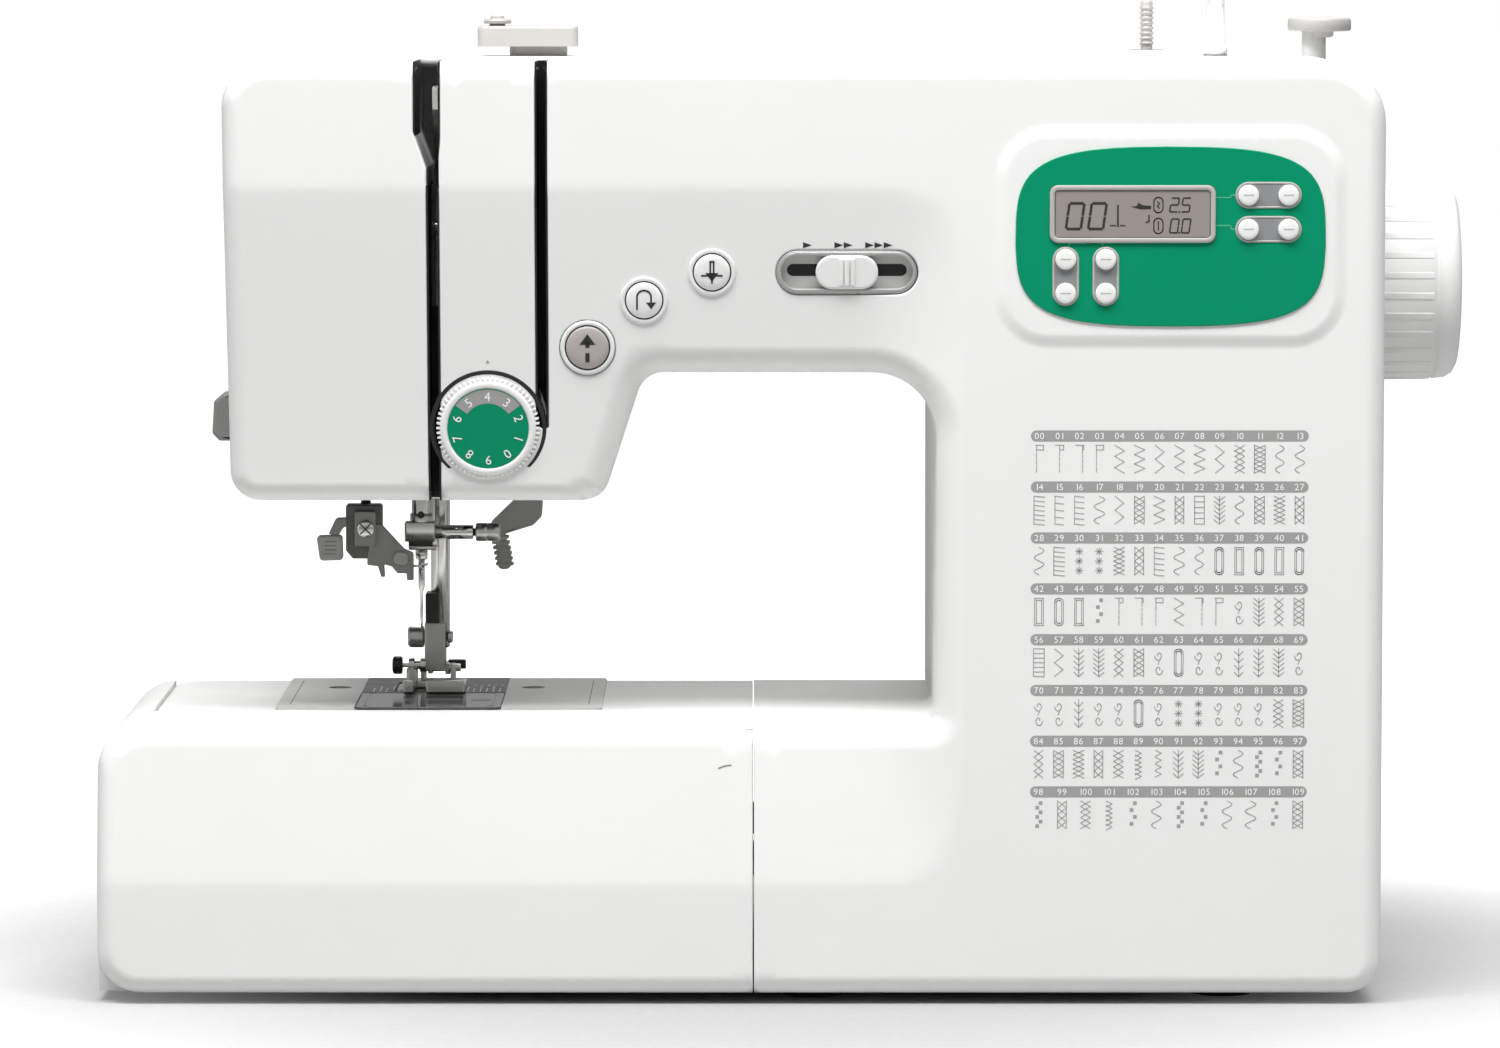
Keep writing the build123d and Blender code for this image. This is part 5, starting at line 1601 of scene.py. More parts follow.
@dataclass
class SpeedSlider:
    """Sliding speed knob in a track with a silver surround, and a black strip painted as the shade of its slot."""

    x: float = 17.9
    z: float = 219.1
    length: float = 42.1
    width: float = 12.9

    def build(self) -> None:
        """Make the surround, the track, the knob and its printed marks."""
        to3 = leaning(self.x, self.z)
        trim = MeshBuffer([SILVER_TRIM, SLOT_SHADE_BLACK, PALE_GREY])
        r = self.width / 2
        for grow, low, high in ((0.0, -3.0, 0.15), (-0.45, -1.0, 0.5)):
            ring = round_box(0, 0, self.length - 1.5 + grow, self.width - 1.5 + grow, r)
            trim.band(ring, 1.55 + grow, low, high, to3)
        trim.prism(round_box(0, 0, self.length - 2, self.width - 2, r), -3.4, -1.9, to3, 2)
        # A thin black strip on the track floor stands for the knob's slot: painted shade.
        trim.prism(round_box(0, 0.6, self.length - 6.5, 3.6, 1.8), -2.0, -1.85, to3, 1)
        settle(trim.build("slider_surround"), "machine", "light_grey_plastic", "slider_frame")
        spot = place("speed_slider")
        middle = spot.middle[0] - self.x
        knob = MeshBuffer([WHITE_KNOB])
        knob.prism(round_box(middle, 0, 18.6, 10.2, 5.0), -1.8, 1.1, to3, 0, bevel=0.8)
        for off, rise in ((-1.7, 1.75), (0.0, 2.15), (1.7, 1.75)):
            knob.prism(round_box(middle + off, 0, 1.5, 8.6, 0.74), 0.9, rise, to3, 0, bevel=0.5)
        settle(knob.build("slider_knob"), "speed_slider", "white_plastic", "speed_slider")
        marks = MeshBuffer([BLACK_INK])
        for start, count in ((6.1, 1), (16.8, 2), (27.3, 3)):
            for k in range(count):
                x = start + k * 2.75 - (count - 1) * 1.375
                marks.prism([(x - 1.25, 226.3), (x + 1.35, 227.2), (x - 1.25, 228.1)], -0.1, 0.06, FORM.ink)
        settle(marks.build("speed_marks"), "machine", "black_plastic")


# ---- top of the machine
@dataclass
class TopFittings:
    """Thread guide, spool pin, bobbin winder and its stop."""

    def build(self) -> None:
        """Make each fitting in turn."""
        self._thread_guide()
        self._spool_pin()
        self._winder()
        self._stop()

    def _thread_guide(self) -> None:
        """Grey moulded guide with a tension stud."""
        spot = place("top_thread_guide")
        (x0, y0, z0), (x1, y1, z1) = spot.low, spot.high
        guide = MeshBuffer([GREY_ABS, SATIN_STEEL])
        bar_low, bar_high = 285.0, 291.2
        guide.prism(round_box((x0 + x1) / 2, (y0 + y1) / 2, x1 - x0, y1 - y0, 2.5), bar_low, bar_high, UPWARD,
                    bevel=1.0)
        guide.prism(round_box(-75.9, -1.0, 17.5, 11.0, 2.0), z0, bar_low + 0.4, UPWARD, 0)
        lathe(guide, [(2.4, bar_high - 0.2), (2.4, bar_high + 0.6), (4.1, bar_high + 0.7), (4.3, z1 - 1.6),
                      (4.0, z1 - 1.1), (2.2, z1 - 0.9), (2.0, z1 - 0.1), (1.7, z1), (0.5, z1)],
              cylinder_about("z", (-88.5, -3.0, 0)), 0, 40)
        for x in (-81.0, -70.5):
            guide.prism(round_box(x, y0 + 1.2, 1.1, 1.2, 0.4), bar_low - 0.02, bar_high - 1.4,
                        UPWARD, 1)
        settle(soften(guide.build("thread_guide"), 0.25), "machine", "light_grey_plastic", "top_thread_guide")

    def _spool_pin(self) -> None:
        """Ribbed grey spool pin on a low round base."""
        x, y, top = 111.1, 0.0, place("spool_pin").high[2]
        low = place("spool_pin").low[2]
        pin = MeshBuffer([GREY_ABS])
        profile: list[Point2] = [(2.05, low)]
        z = 285.0
        while z < top - 2.0:
            profile += [(1.75, z), (1.75, z + 0.35), (2.15, z + 0.6), (2.15, z + 1.05), (1.75, z + 1.3)]
            z += 1.55
        profile += [(1.9, top - 1.2), (1.6, top - 0.4), (0.9, top), (0.3, top)]
        lathe(pin, profile, cylinder_about("z", (x, y, 0)), 0, 32)
        settle(pin.build("spool_pin_rod"), "spool_pin", "light_grey_plastic", "spool_pin")
        base = MeshBuffer([WHITE_ABS])
        spot = place("spool_pin_base")
        r = spot.size[0] / 2
        h = spot.high[2]
        lathe(base, [(r, spot.low[2]), (r, h - 0.9), (r - 0.25, h - 0.3), (r - 0.9, h), (2.9, h), (2.5, h - 0.6)],
              cylinder_about("z", (spot.middle[0], spot.middle[1], 0)), 0, 48)
        settle(base.build("spool_pin_collar"), "machine", "white_plastic")

    def _winder(self) -> None:
        """White winder shaft with a split top and a spring rib."""
        spot = place("bobbin_winder")
        x, y, top, low = 132.3, 0.0, spot.high[2], spot.low[2]
        shaft = MeshBuffer([WHITE_KNOB, CHROME])
        profile = [(2.4, low), (2.4, 281.6), (3.7, 281.8), (3.7, 284.0), (3.4, 284.6), (2.75, 284.8), (2.75, top - 3.5),
                   (2.95, top - 2.6), (2.7, top - 1.0), (2.2, top - 0.2), (1.6, top), (0.4, top)]
        lathe(shaft, profile, cylinder_about("z", (x, y, 0)), 0, 40)
        for side in (-1, 1):
            shaft.prism([(x + side * 2.1 - 0.3, -2.4), (x + side * 2.1 + 0.3, -2.4), (x + side * 2.1 + 0.3, 2.4),
                         (x + side * 2.1 - 0.3, 2.4)], top - 9.0, top - 2.2, UPWARD, 0, bevel=0.2)
        settle(shaft.build("winder_shaft"), "bobbin_winder", "white_plastic", "bobbin_winder")

    def _stop(self) -> None:
        """Grey stop disc on a white post."""
        spot = place("bobbin_stop")
        low, top = spot.low[2], spot.high[2]
        stop = MeshBuffer([GREY_ABS, WHITE_ABS])
        lathe(stop, [(3.7, low), (3.7, 289.4), (1.0, 289.5)], cylinder_about("z", (162.6, 0, 0)), 1, 36)
        lathe(stop, [(3.2, 287.6), (4.2, 288.0), (4.4, 289.4), (9.2, 289.6), (9.7, 290.2), (9.7, top - 1.1),
                     (9.3, top - 0.4), (8.4, top - 0.1), (4.6, top - 0.1), (4.3, top - 0.5), (3.6, top - 0.5),
                     (3.4, top), (0.6, top)], cylinder_about("z", (164.3, 0, 0)), 0, 64)
        settle(stop.build("winder_stop"), "machine", "light_grey_plastic", "bobbin_stop")


# ---- handwheel
@dataclass
class Handwheel:
    """White handwheel with a rounded rim, shallow grips and a turned boss."""

    radius: float = 30.3
    grips: int = 30

    def build(self) -> None:
        """Turn the wheel and add the grips."""
        spot = place("handwheel")
        y, z = spot.middle[1], spot.middle[2]
        x0, x1 = max(spot.low[0], 178.3), spot.high[0]
        r = self.radius
        wheel = MeshBuffer([WHITE_ABS])
        to3 = cylinder_about("x", (0, y, z))
        lathe(wheel, [(6.2, x0), (r - 2.0, x0), (r - 0.9, x0 + 0.8), (r - 0.35, x0 + 2.0), (r - 0.3, x1 - 8.2),
                      (r - 0.7, x1 - 7.9), (r - 0.7, x1 - 7.4), (r - 0.4, x1 - 7.1), (r - 0.8, x1 - 3.6),
                      (r - 2.0, x1 - 1.4), (r - 4.2, x1 - 0.2), (r - 6.0, x1), (18.0, x1 - 0.4), (15.5, x1 - 1.6),
                      (14.5, x1 - 1.9), (4.0, x1 - 1.9), (1.0, x1 - 1.9)], to3, 0, 120)
        settle(wheel.build("handwheel_body"), "main_shaft", "white_plastic", "handwheel")
        seed = MeshBuffer([WHITE_ABS])
        seed.prism(round_box(0, 0, 2.2, 0.9, 0.4), x0 + 2.4, x1 - 8.8, lambda a, b, h: (h, a, b + r - 0.55), bevel=0.35)
        ring = Repeat("handwheel_grips", self.grips, turn=(2 * math.pi / self.grips, 0, 0), centre=(0, y, z))
        settle(ring.build(seed.build("handwheel_grip"), WHITE_ABS), "main_shaft", "white_plastic")


# ---- needle area
@dataclass
class NeedleGroup:
    """Needle bar, clamp with its side screw, and the needle."""

    bar: Point2 = (-112.8, 6.0)

    def build(self) -> None:
        """Make the three parts that travel together."""
        x, y = self.bar
        up = cylinder_about("z", (x, y, 0))
        rod = place("needle_bar")
        bar = MeshBuffer([CHROME])
        lathe(bar, [(2.2, rod.low[2]), (2.9, rod.low[2] + 0.8), (3.0, rod.low[2] + 1.6), (3.0, rod.high[2] - 0.6),
                    (2.6, rod.high[2])], up, 0, 40)
        settle(bar.build("needle_bar_rod"), "needle_group", "polished_steel", "needle_bar")
        self._clamp(x, y)
        spot = place("needle")
        needle = MeshBuffer([CHROME])
        low, top = spot.low[2], spot.high[2]
        lathe(needle, [(0.12, low), (0.42, low + 2.5), (0.5, low + 5.0), (0.44, low + 7.5), (0.5, top - 13.0),
                       (1.0, top - 11.5), (1.02, top)], up, 0, 24)
        settle(needle.build("needle_shank"), "needle_group", "polished_steel", "needle")

    def _clamp(self, x: float, y: float) -> None:
        """Clamp body, thread guide wire, side tube and knurled screw."""
        low, high = 125.5, 137.5
        clamp = MeshBuffer([SATIN_STEEL, CHROME, BLACK_OXIDE])
        up = cylinder_about("z", (x, y, 0))
        clamp.prism(round_box(x - 0.4, y, 9.4, 7.6, 0.7), 131.7, high + 0.2, UPWARD, 0, bevel=0.4)
        clamp.prism(round_box(x - 0.2, y, 7.4, 6.4, 0.6), 130.2, 131.9, UPWARD, 2)
        clamp.prism(round_box(x + 0.4, y - 0.4, 8.6, 5.6, 0.6), low + 3.6, 130.3, UPWARD, 0, bevel=0.3)
        lathe(clamp, [(1.7, low + 0.4), (1.9, low + 0.7), (1.9, low + 3.8)], up, 1, 28)
        lathe(clamp, [(3.4, high), (3.5, high + 0.2), (3.5, high + 2.6), (3.2, high + 2.8)], up, 0, 32)
        clamp.prism(disc(x, 140.0, 1.1, 20), -y + 3.2, -y + 3.8, FORWARD, 2)
        side = cylinder_about("x", (x, y, 134.4))
        reach = place("needle_clamp").high[0] - x
        lathe(clamp, [(2.2, 3.4), (2.2, reach - 8.6), (1.9, reach - 8.4)], side, 1, 32)
        lathe(clamp, [(1.2, reach - 8.5), (1.2, reach - 7.7)], side, 2, 28)
        lathe(clamp, [(1.2, reach - 7.8), (2.6, reach - 7.6), (2.85, reach - 7.2), (2.85, reach - 4.4),
                      (2.7, reach - 4.2), (2.7, reach - 3.9), (2.85, reach - 3.7), (2.85, reach - 0.7),
                      (2.5, reach - 0.2), (1.6, reach)], side, 0, 28)
        wire = [(x - 3.4, 126.2), (x - 2.6, 124.2), (x + 0.6, 124.0), (x + 1.9, 124.8)]
        clamp.ribbon(wire, 0.75, y - 0.35, y + 0.35, lambda a, b, h: (a, h - 3.4, b), 1)
        settle(clamp.build("needle_clamp_block"), "needle_group", "brushed_steel", "needle_clamp")


@dataclass
class PresserGroup:
    """Presser bar, foot holder and the zigzag foot."""

    bar: Point2 = (-107.5, 20.0)

    def build(self) -> None:
        """Make the bar and holder, then the foot."""
        x, y = self.bar
        rod = place("presser_bar")
        bar = MeshBuffer([CHROME])
        lathe(bar, [(2.5, rod.low[2]), (3.0, rod.low[2] + 0.6), (3.0, rod.high[2] - 0.5), (2.6, rod.high[2])],
              cylinder_about("z", (x, y, 0)), 0, 40)
        settle(bar.build("presser_bar_rod"), "presser", "polished_steel", "presser_bar")
        self._holder(x)
        self._foot()

    def _holder(self, x: float) -> None:
        """Snap-on holder with its clamp screw and lever."""
        spot = place("foot_holder")
        y0, y1 = spot.low[1], spot.high[1]
        body = MeshBuffer([Finish("bead_blasted_steel", "#B4B3B1", 0.42, metallic=0.85, relief=0.08), BLACK_OXIDE,
                           SATIN_STEEL, BLACK_NYLON])
        body.prism(round_box(x - 1.6, (y0 + y1) / 2, 6.4, y1 - y0 - 0.2, 0.8), 91.0, 105.4, UPWARD, 0, bevel=0.5)
        body.prism(round_box(x - 2.4, (y0 + y1) / 2 - 1.0, 4.2, y1 - y0 - 3.0, 0.8), 105.0, 114.6, UPWARD, 1, bevel=0.5)
        for side, drop in ((-1, 89.4), (1, 89.2)):
            body.prism(round_box(x - 0.4 + side * 2.7, (y0 + y1) / 2, 1.4, 9.5, 0.6), drop, 92.5, UPWARD, 0, bevel=0.3)
        screw = cylinder_about("x", (spot.low[0] - 0.2, 19.0, 100.6))
        lathe(body, [(1.2, 0.0), (2.7, 0.1), (3.3, 0.6), (3.4, 1.2), (3.4, 4.6), (3.1, 5.0), (1.8, 5.2), (1.8, 7.0)],
              screw, 2, 36)
        body.prism([(-0.35, -2.6), (0.35, -2.6), (0.35, 2.6), (-0.35, 2.6)], -0.04, 0.3, screw, 1)
        nut = cylinder_about("x", (x + 2.4, 19.0, 100.6))
        lathe(body, [(1.9, 0.0), (1.9, 1.2), (1.4, 1.5), (0.4, 1.5)], nut, 2, 24)
        body.prism(round_box(x + 5.0, (y0 + y1) / 2 + 2.0, 5.6, 3.0, 0.8), 90.4, 93.2, UPWARD, 3, bevel=0.5)
        settle(soften(body.build("foot_holder_block"), 0.15), "presser", "brushed_steel", "foot_holder")

    def _foot(self) -> None:
        """Sole with two turned-up toes, a cross pin and its side knob."""
        spot = place("presser_foot")
        foot = MeshBuffer([SATIN_STEEL, CHROME, BLACK_NYLON])
        low = spot.low[2]
        x0, x1 = -118.0, -99.0
        middle = (x0 + x1) / 2
        needle_x = NeedleGroup.bar[0]
        for a, b in ((x0, needle_x - 1.9), (needle_x + 1.9, x1)):
            for y0, y1, rise in ((-14.0, -10.5, 2.2), (-10.6, -6.0, 0.7), (-6.2, 9.0, 0.0)):
                foot.prism(round_box((a + b) / 2, (y0 + y1) / 2, b - a, y1 - y0, 0.8), low + rise, low + rise + 2.0,
                           UPWARD, bevel=0.4)
        foot.prism(round_box(middle, 13.0, x1 - x0, 9.0, 2.0), low, low + 2.0, UPWARD, 0, bevel=0.5)
        for x in (-112.6, -103.4):
            foot.prism(round_box(x, 14.6, 1.6, 5.6, 0.6), low + 1.6, 92.6, UPWARD, 0, bevel=0.3)
        pin = cylinder_about("x", (-114.0, 16.0, 91.2))
        lathe(foot, [(1.0, 0.0), (1.2, 0.3), (1.2, 12.6), (1.0, 12.9)], pin, 1, 24)
        knob = cylinder_about("x", (spot.low[0] - 0.6, 9.5, 92.6))
        lathe(foot, [(1.9, 0.0), (2.6, 0.3), (2.8, 0.8), (2.8, 2.6), (2.5, 3.1), (0.9, 3.2)], knob, 2, 28)
        lathe(foot, [(0.7, 3.1), (0.7, 5.0), (2.3, 5.1), (2.4, 6.8), (1.3, 7.0), (1.3, 8.6), (2.3, 8.7), (2.3, 10.4),
                     (0.8, 10.6)], knob, 1, 28)
        foot.prism(round_box(-116.0, 10.2, 3.4, 6.0, 1.0), low + 1.2, 91.6, UPWARD, 0, bevel=0.5)
        settle(soften(foot.build("zigzag_foot"), 0.12), "presser_foot", "brushed_steel", "presser_foot")


@dataclass
class Levers:
    """Moulded grey levers: the presser lifter behind the head and the needle threader."""

    def build(self) -> None:
        """Make both levers."""
        self._lifter()
        self._threader()

    def _lifter(self) -> None:
        """Curved lifter that ends in a ribbed finger tab."""
        y0, y1 = 51.0, 57.0
        lifter = MeshBuffer([Finish("lever_grey_nylon", "#A3A2A0", 0.42, grain=Grain.SPARK, relief=0.05)])
        outline = rounded([(-92.9, 133.8, 1.2), (-91.6, 129.6, 1.4), (-90.7, 118.8, 1.8), (-86.3, 119.0, 1.8),
                           (-86.6, 124.0, 1.2), (-88.7, 130.0, 1.0), (-79.4, 132.9, 1.8), (-76.8, 135.6, 1.6),
                           (-76.2, 144.0, 2.0), (-73.0, 166.0, 2.5), (-80.0, 166.0, 2.5), (-84.4, 142.0, 2.0)])
        lifter.prism(outline, -y1, -y0, FORWARD, 0, bevel=0.9)
        for k in range(6):
            z = 120.6 + k * 1.7
            lifter.prism(round_box(-88.5 - k * 0.3, z, 5.7, 0.9, 0.4), -y1 + 1.0, -y0 + 0.3, FORWARD, 0, bevel=0.25)
        settle(lifter.build("presser_lifter_arm"), "presser_lifter", "dark_grey_plastic", "presser_lifter")

    def _threader(self) -> None:
        """Threader rod, hook carriage, small hook plate and finger lever."""
        unit = MeshBuffer([MID_GREY, CHROME, DARK_GREY, Finish("grey_nylon_pale", "#A09F9D", 0.4, relief=0.05)])
        rod_x, rod_y = -130.0, 6.0
        up = cylinder_about("z", (rod_x, rod_y, 0))
        lathe(unit, [(1.6, 139.0), (1.6, 176.0), (1.2, 176.5)], up, 1, 24)
        layer = cylinder_about("-y", (0, -2.0, 0))
        plate = rounded([(-135.8, 129.3, 0.8), (-133.7, 126.8, 0.8), (-124.7, 126.8, 0.6), (-124.7, 143.4, 0.9),
                         (-135.8, 143.4, 0.6)])
        unit.prism(plate, -8.0, 0.4, layer, 2, bevel=0.5)
        shelf = rounded([(-129.2, 126.9, 0.4), (-129.2, 124.9, 0.4), (-125.9, 124.5, 0.3), (-124.9, 121.2, 0.3),
                         (-123.7, 121.2, 0.3), (-124.0, 125.1, 0.4), (-121.6, 124.4, 0.8), (-119.9, 122.3, 0.8),
                         (-117.1, 122.3, 0.3), (-116.9, 120.2, 0.2), (-114.9, 120.2, 0.2), (-114.9, 128.6, 0.8),
                         (-117.8, 129.9, 0.8), (-124.6, 137.3, 0.6), (-127.6, 137.6, 0.6)])
        unit.prism(shelf, -1.2, 1.2, layer, 0, bevel=0.35)
        boss = rounded([(-133.0, 130.8, 0.7), (-126.4, 130.8, 0.7), (-126.4, 141.6, 0.7), (-133.0, 141.6, 0.7)])
        unit.prism(boss, 0.2, 2.2, layer, 0, bevel=0.4)
        arm = rounded([(-141.2, 134.4, 0.4), (-137.9, 134.2, 0.4), (-136.6, 136.4, 1.0), (-135.4, 136.9, 0.4),
                       (-135.4, 139.6, 0.4), (-138.8, 139.5, 1.6)])
        unit.prism(arm, -1.0, 1.2, layer, 0, bevel=0.4)
        paddle = rounded([(-143.8, 126.2, 1.2), (-136.6, 126.4, 1.2), (-136.9, 134.2, 1.0), (-144.9, 134.0, 1.2)])
        unit.prism(paddle, -1.6, 1.8, layer, 3, bevel=0.8)
        for k in range(4):
            unit.prism(round_box(-140.6, 128.4 + k * 1.25, 3.6, 0.4, 0.19), 1.6, 1.95, layer, 0, bevel=0.1)
        hook = rounded([(-121.4, 125.4, 1.4), (-117.0, 124.6, 1.4), (-116.2, 128.4, 1.6), (-120.4, 129.4, 1.6)])
        unit.prism(hook, 1.0, 2.0, layer, 3, bevel=0.3)
        screw = cylinder_about("-y", (-129.6, -4.2, 136.2))
        lathe(unit, [(2.7, 0.0), (2.7, 0.6), (2.4, 1.0), (0.6, 1.1)], screw, 1, 36)
        for ends in (((-1.5, -1.5), (1.5, 1.5)), ((-1.5, 1.5), (1.5, -1.5))):
            unit.ribbon(ends, 0.5, 1.0, 1.14, screw, 2)
        lever_x0, lever_x1 = -176.0, -168.8
        lever = rounded([(lever_x0, 166.5, 1.6), (lever_x0 + 2.2, 164.2, 1.4), (lever_x1, 164.2, 0.4),
                         (lever_x1, 179.0, 0.4), (lever_x0 + 3.4, 178.8, 1.4), (lever_x0 + 0.6, 176.4, 1.4)])
        unit.prism(lever, 5.2, 15.8, FORWARD, 0, bevel=1.2)
        unit.prism([(lever_x1 - 0.4, -12.0), (-129.4, -10.0), (-129.4, -6.4), (lever_x1 - 0.4, -8.0)], 168.0, 173.0,
                   UPWARD, 0, bevel=0.4)
        settle(unit.build("threader_unit"), "needle_threader", "dark_grey_plastic", "needle_threader")


# ---- plates on the bed
@dataclass
class StitchPlates:
    """Engraved lines on the needle plate and its surround, and the clear bobbin cover."""

    def build(self) -> None:
        """Engrave the plates and dress the bobbin cover."""
        plate = place("needle_plate")
        top = plate.high[2]
        marks = MeshBuffer([WHITE_INK, WHITE_INK, Finish("grey_scale_ink", "#7D7C7A", 0.5, relief=0.0)])
        x0, x1 = plate.low[0] + 2.0, plate.high[0] - 2.0
        for k in range(6):
            for side, start in ((-1, -117.5), (1, -98.5)):
                x = start + side * k * 2.0
                if x0 < x < x1:
                    marks.ribbon([(x, plate.low[1] + 2.0), (x, plate.low[1] + (12.0 if k % 2 else 17.0))], 0.25,
                                 top - 0.1, top + 0.04, UPWARD)
        for k in range(5):
            LETTERS.write(marks, str(k + 3), (-96.5 + k * 2.1, plate.low[1] + 21.0), 2.0, top + 0.04, UPWARD, 0)
        surround = place("needle_plate_cover")
        level = surround.high[2]
        for x in (surround.low[0] + 4.0, surround.high[0] - 4.0):
            marks.ribbon([(x, surround.low[1] + 8.0), (x, surround.high[1] - 8.0)], 0.3, level - 0.1, level + 0.04,
                         UPWARD, 2)
        settle(marks.build("plate_marks"), "machine", "brushed_steel")
        spot = place("bobbin_cover")
        cover = MeshBuffer([CLEAR, Finish("smoked_window", "#55555A", 0.12, coat=0.5, relief=0.0)])
        cx, cy = spot.middle[0], spot.middle[1]
        w, h = spot.size[0], spot.size[1]
        cover.prism(round_box(cx, cy, w, h, 2.0), spot.low[2], spot.high[2], UPWARD, 1, bevel=0.25)
        cover.ribbon(round_box(cx, cy, w - 5.0, h - 5.0, 1.5), 0.5, spot.high[2] - 0.1, spot.high[2] + 0.05,
                     UPWARD, closed=True)
        cover.prism(disc(cx + w / 2 - 6.5, cy, 3.2, 24), spot.high[2] - 0.1, spot.high[2] + 0.06, UPWARD, 0)
        settle(cover.build("bobbin_window"), "bobbin_cover", "clear_plastic", "bobbin_cover")


# ---- carrying handle
@dataclass
class CarryHandle:
    """Folding handle at the back, with a rounded grip and moulded ribs."""

    def build(self) -> None:
        """Make the grip's ribs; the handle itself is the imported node."""
        spot = place("carry_handle")
        seed = MeshBuffer([PALE_GREY])
        seed.prism(round_box(0, 0, 1.6, 11.0, 0.7), -0.5, 0.5, lambda a, b, h: (a, h, b), bevel=0.4)
        count = 14
        pitch = 6.0
        centre = (spot.middle[0] - pitch * (count - 1) / 2, spot.high[1] - 0.2, 233.5)
        ribs = Repeat("handle_ribs", count, step=(pitch, 0, 0), centre=centre)
        settle(ribs.build(seed.build("handle_rib"), PALE_GREY), "carry_handle", "light_grey_plastic")


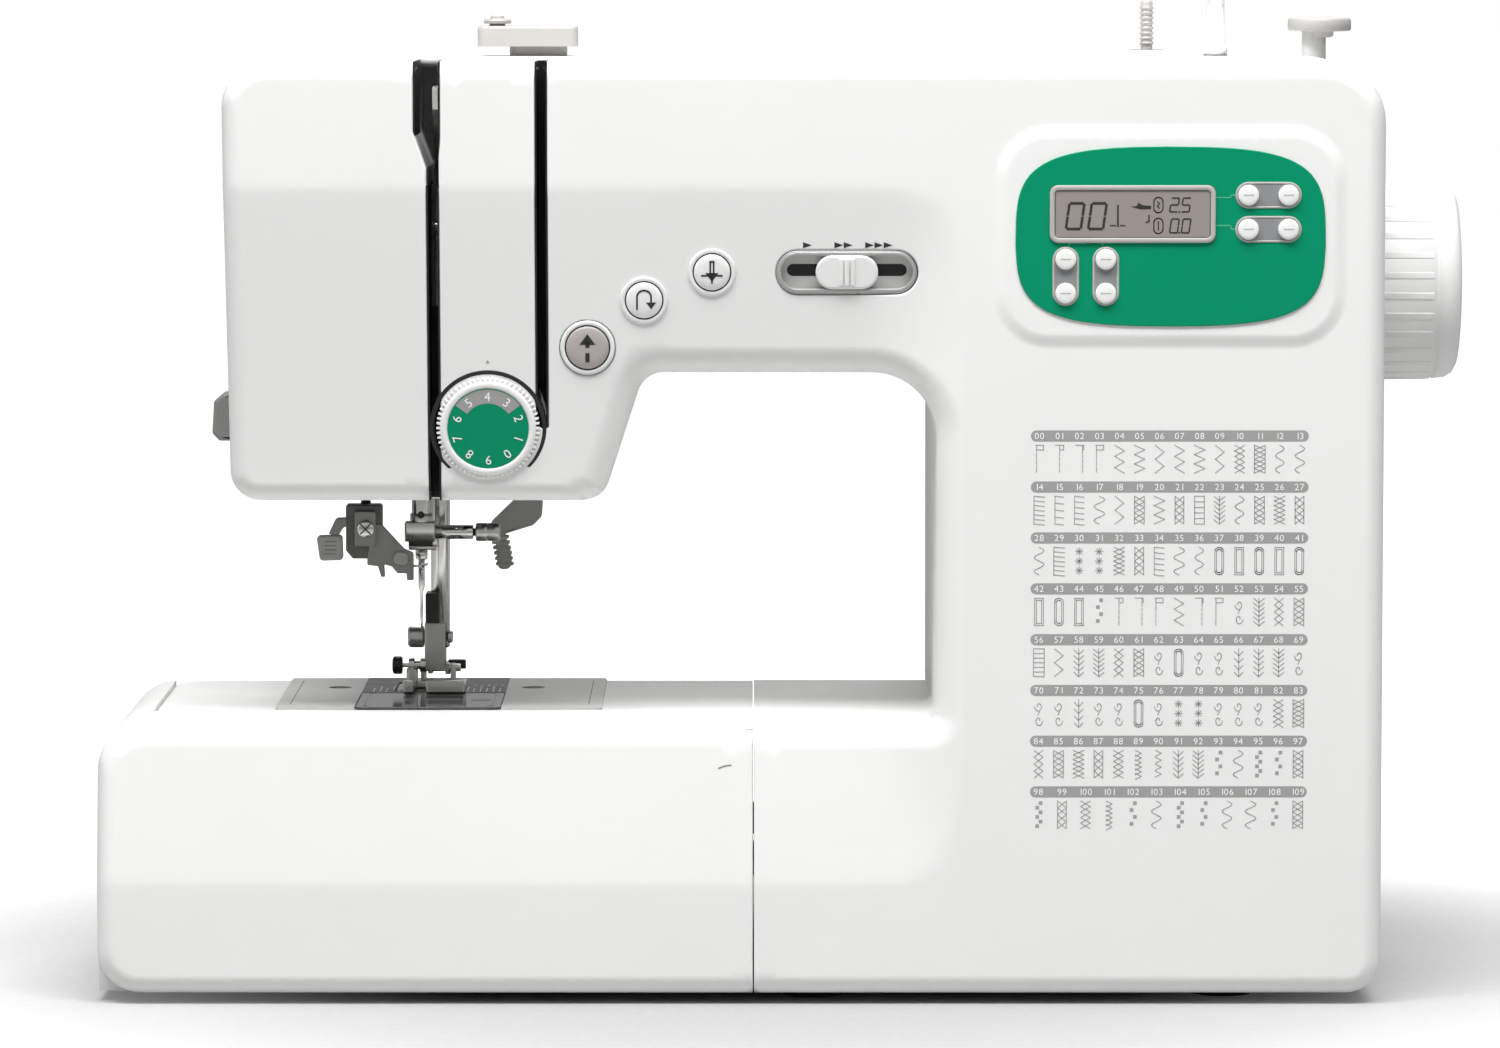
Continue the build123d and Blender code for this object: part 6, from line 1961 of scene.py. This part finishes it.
# ---- studio
@dataclass
class Studio:
    """Pale seamless floor with a painted glow away from the object, soft boxes and the camera."""

    eye: Point3 = (-0.0109, -2.2895, 0.3195)
    target: Point3 = (-0.0109, -0.0895, 0.1445)
    focal: float = 178.2

    def build(self) -> None:
        """Add the floor, lights, sky and camera."""
        self._floor()
        self._lights()
        self._camera()

    def _floor(self) -> None:
        """Wide round table top of matt paper; seen directly, its outer part glows as painted light."""
        rings = (0.001, 0.5, 1.0, 1.6, 2.6, 6.0)
        points = [(r * math.cos(2 * math.pi * k / 48), r * math.sin(2 * math.pi * k / 48), 0.0)
                  for r in rings for k in range(48)]
        faces = [(i * 48 + k, (i + 1) * 48 + k, (i + 1) * 48 + (k + 1) % 48, i * 48 + (k + 1) % 48)
                 for i in range(len(rings) - 1) for k in range(48)]
        faces.append(tuple(range(48)))
        mesh = bpy.data.meshes.new("studio_floor")
        mesh.from_pydata(points, [], faces)
        mesh.materials.append(self._glowing_paper())
        floor = bpy.data.objects.new("studio_floor", mesh)
        bpy.context.scene.collection.objects.link(floor)
        floor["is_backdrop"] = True

    @staticmethod
    def _glowing_paper() -> bpy.types.Material:
        """Matt paper with painted light: seen directly, it glows more the further it lies from the object, to give the
        white ground.
        """
        paper = bpy.data.materials.new("glowing_matt_paper")
        paper.use_nodes = True
        tree = paper.node_tree
        tree.nodes.clear()
        spot = add_node(tree, "ShaderNodeTexCoord").outputs["Object"]
        reach = add_node(tree, "ShaderNodeVectorMath", {0: spot}, operation="LENGTH").outputs["Value"]
        # Painted light: camera rays see the paper glow, from nothing near the object to full white half a metre out.
        fade = add_node(tree, "ShaderNodeMapRange", {0: reach, 1: 0.11, 2: 0.50, 3: 0.0, 4: 1.0},
                        interpolation_type="SMOOTHSTEP")
        seen = add_node(tree, "ShaderNodeLightPath").outputs["Is Camera Ray"]
        glow = add_node(tree, "ShaderNodeMath", {0: fade.outputs[0], 1: seen}, operation="MULTIPLY")
        fibre = add_node(tree, "ShaderNodeTexNoise", {"Vector": spot, "Scale": 1 / (3 * MM), "Detail": 2.0})
        tone = add_node(tree, "ShaderNodeMapRange", {0: fibre.outputs["Fac"], 1: 0.3, 2: 0.7, 3: 0.44, 4: 0.47})
        shader = add_node(tree, "ShaderNodeBsdfPrincipled", {"Base Color": tone.outputs[0], "Roughness": 0.8,
                                                             "Emission Color": linear("#FFFFFF"),
                                                             "Emission Strength": glow.outputs[0]})
        shader.inputs["Specular IOR Level"].default_value = 0.1
        add_node(tree, "ShaderNodeOutputMaterial", {"Surface": shader.outputs["BSDF"]})
        return paper

    def _lights(self) -> None:
        """Large soft boxes above, in front, at the left and behind, and the sky."""
        self._soft_box("key_box", (-0.06, -0.62, 1.45), (0.0, -0.08, 0.15), 1.7, 0.45, 35.0)
        self._soft_box("overhead_box", (0.0, 0.02, 1.6), (0.0, 0.0, 0.0), 1.8, 0.3, 4.5)
        self._soft_box("left_box", (-1.9, -0.9, 0.6), (-0.1, 0.0, 0.15), 0.8, 1.2, 2.0)
        self._soft_box("rear_box", (0.3, 1.5, 1.5), (0.0, 0.1, 0.12), 1.4, 0.8, 13.0)
        world = bpy.data.worlds.new("studio_sky")
        world.use_nodes = True
        tree = world.node_tree
        path = add_node(tree, "ShaderNodeLightPath")
        mirrored = add_node(tree, "ShaderNodeMath", {0: path.outputs["Is Glossy Ray"], 1: 0.25}, operation="MULTIPLY")
        seen = add_node(tree, "ShaderNodeMath", {0: path.outputs["Is Camera Ray"], 1: mirrored.outputs[0]},
                        operation="ADD").outputs[0]
        power = add_node(tree, "ShaderNodeMapRange", {0: seen, 3: 0.13, 4: 1.0})
        sky = tree.nodes["Background"]
        sky.inputs["Color"].default_value = linear("#FFFFFF")
        tree.links.new(power.outputs[0], sky.inputs["Strength"])
        bpy.context.scene.world = world

    @staticmethod
    def _soft_box(name: str, eye: Point3, target: Point3, width: float, height: float, power: float) -> None:
        """Rectangular area light aimed at a point.

        Args:
            name: name of the light.
            eye: place of the light, in metres.
            target: point that it faces.
            width: width of the box.
            height: height of the box.
            power: power in watts.
        """
        lamp = bpy.data.lights.new(name, "AREA")
        lamp.shape = "RECTANGLE"
        lamp.size, lamp.size_y, lamp.energy = width, height, power
        holder = bpy.data.objects.new(name, lamp)
        holder.location = eye
        holder.rotation_euler = (Vector(target) - Vector(eye)).to_track_quat("-Z", "Y").to_euler()
        bpy.context.scene.collection.objects.link(holder)

    def _camera(self) -> None:
        """Camera a little above the arm, on a long lens."""
        lens = bpy.data.cameras.new("camera")
        lens.lens, lens.sensor_width = self.focal, 36.0
        lens.clip_end = 50.0
        holder = bpy.data.objects.new("camera", lens)
        holder.location = self.eye
        holder.rotation_euler = (Vector(self.target) - Vector(self.eye)).to_track_quat("-Z", "Y").to_euler()
        bpy.context.scene.collection.objects.link(holder)
        bpy.context.scene.camera = holder
        bpy.context.scene.view_settings.view_transform = "Standard"


# ---- all together
def plain(bounds: Any) -> Any:
    """Bounds as plain lists of numbers."""
    return [[float(v) for v in row] for row in bounds]


def main() -> None:
    """Build every sub-assembly in order."""
    logging.basicConfig(level=logging.INFO, format="%(message)s")
    cad_box = plain(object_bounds())
    DRESSING.apply()
    for assembly in (Housing(), StorageDoor(), ControlPanel(), PanelKeys(), StitchChart(), TensionDial(),
                     *push_buttons(), SpeedSlider(), TopFittings(), Handwheel(), NeedleGroup(), PresserGroup(),
                     Levers(), StitchPlates(), CarryHandle()):
        LOG.info("building %s", type(assembly).__name__)
        assembly.build()
    Studio().build()
    {"cad": cad_box, "visual": plain(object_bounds())}


if __name__ == "__main__":
    main()
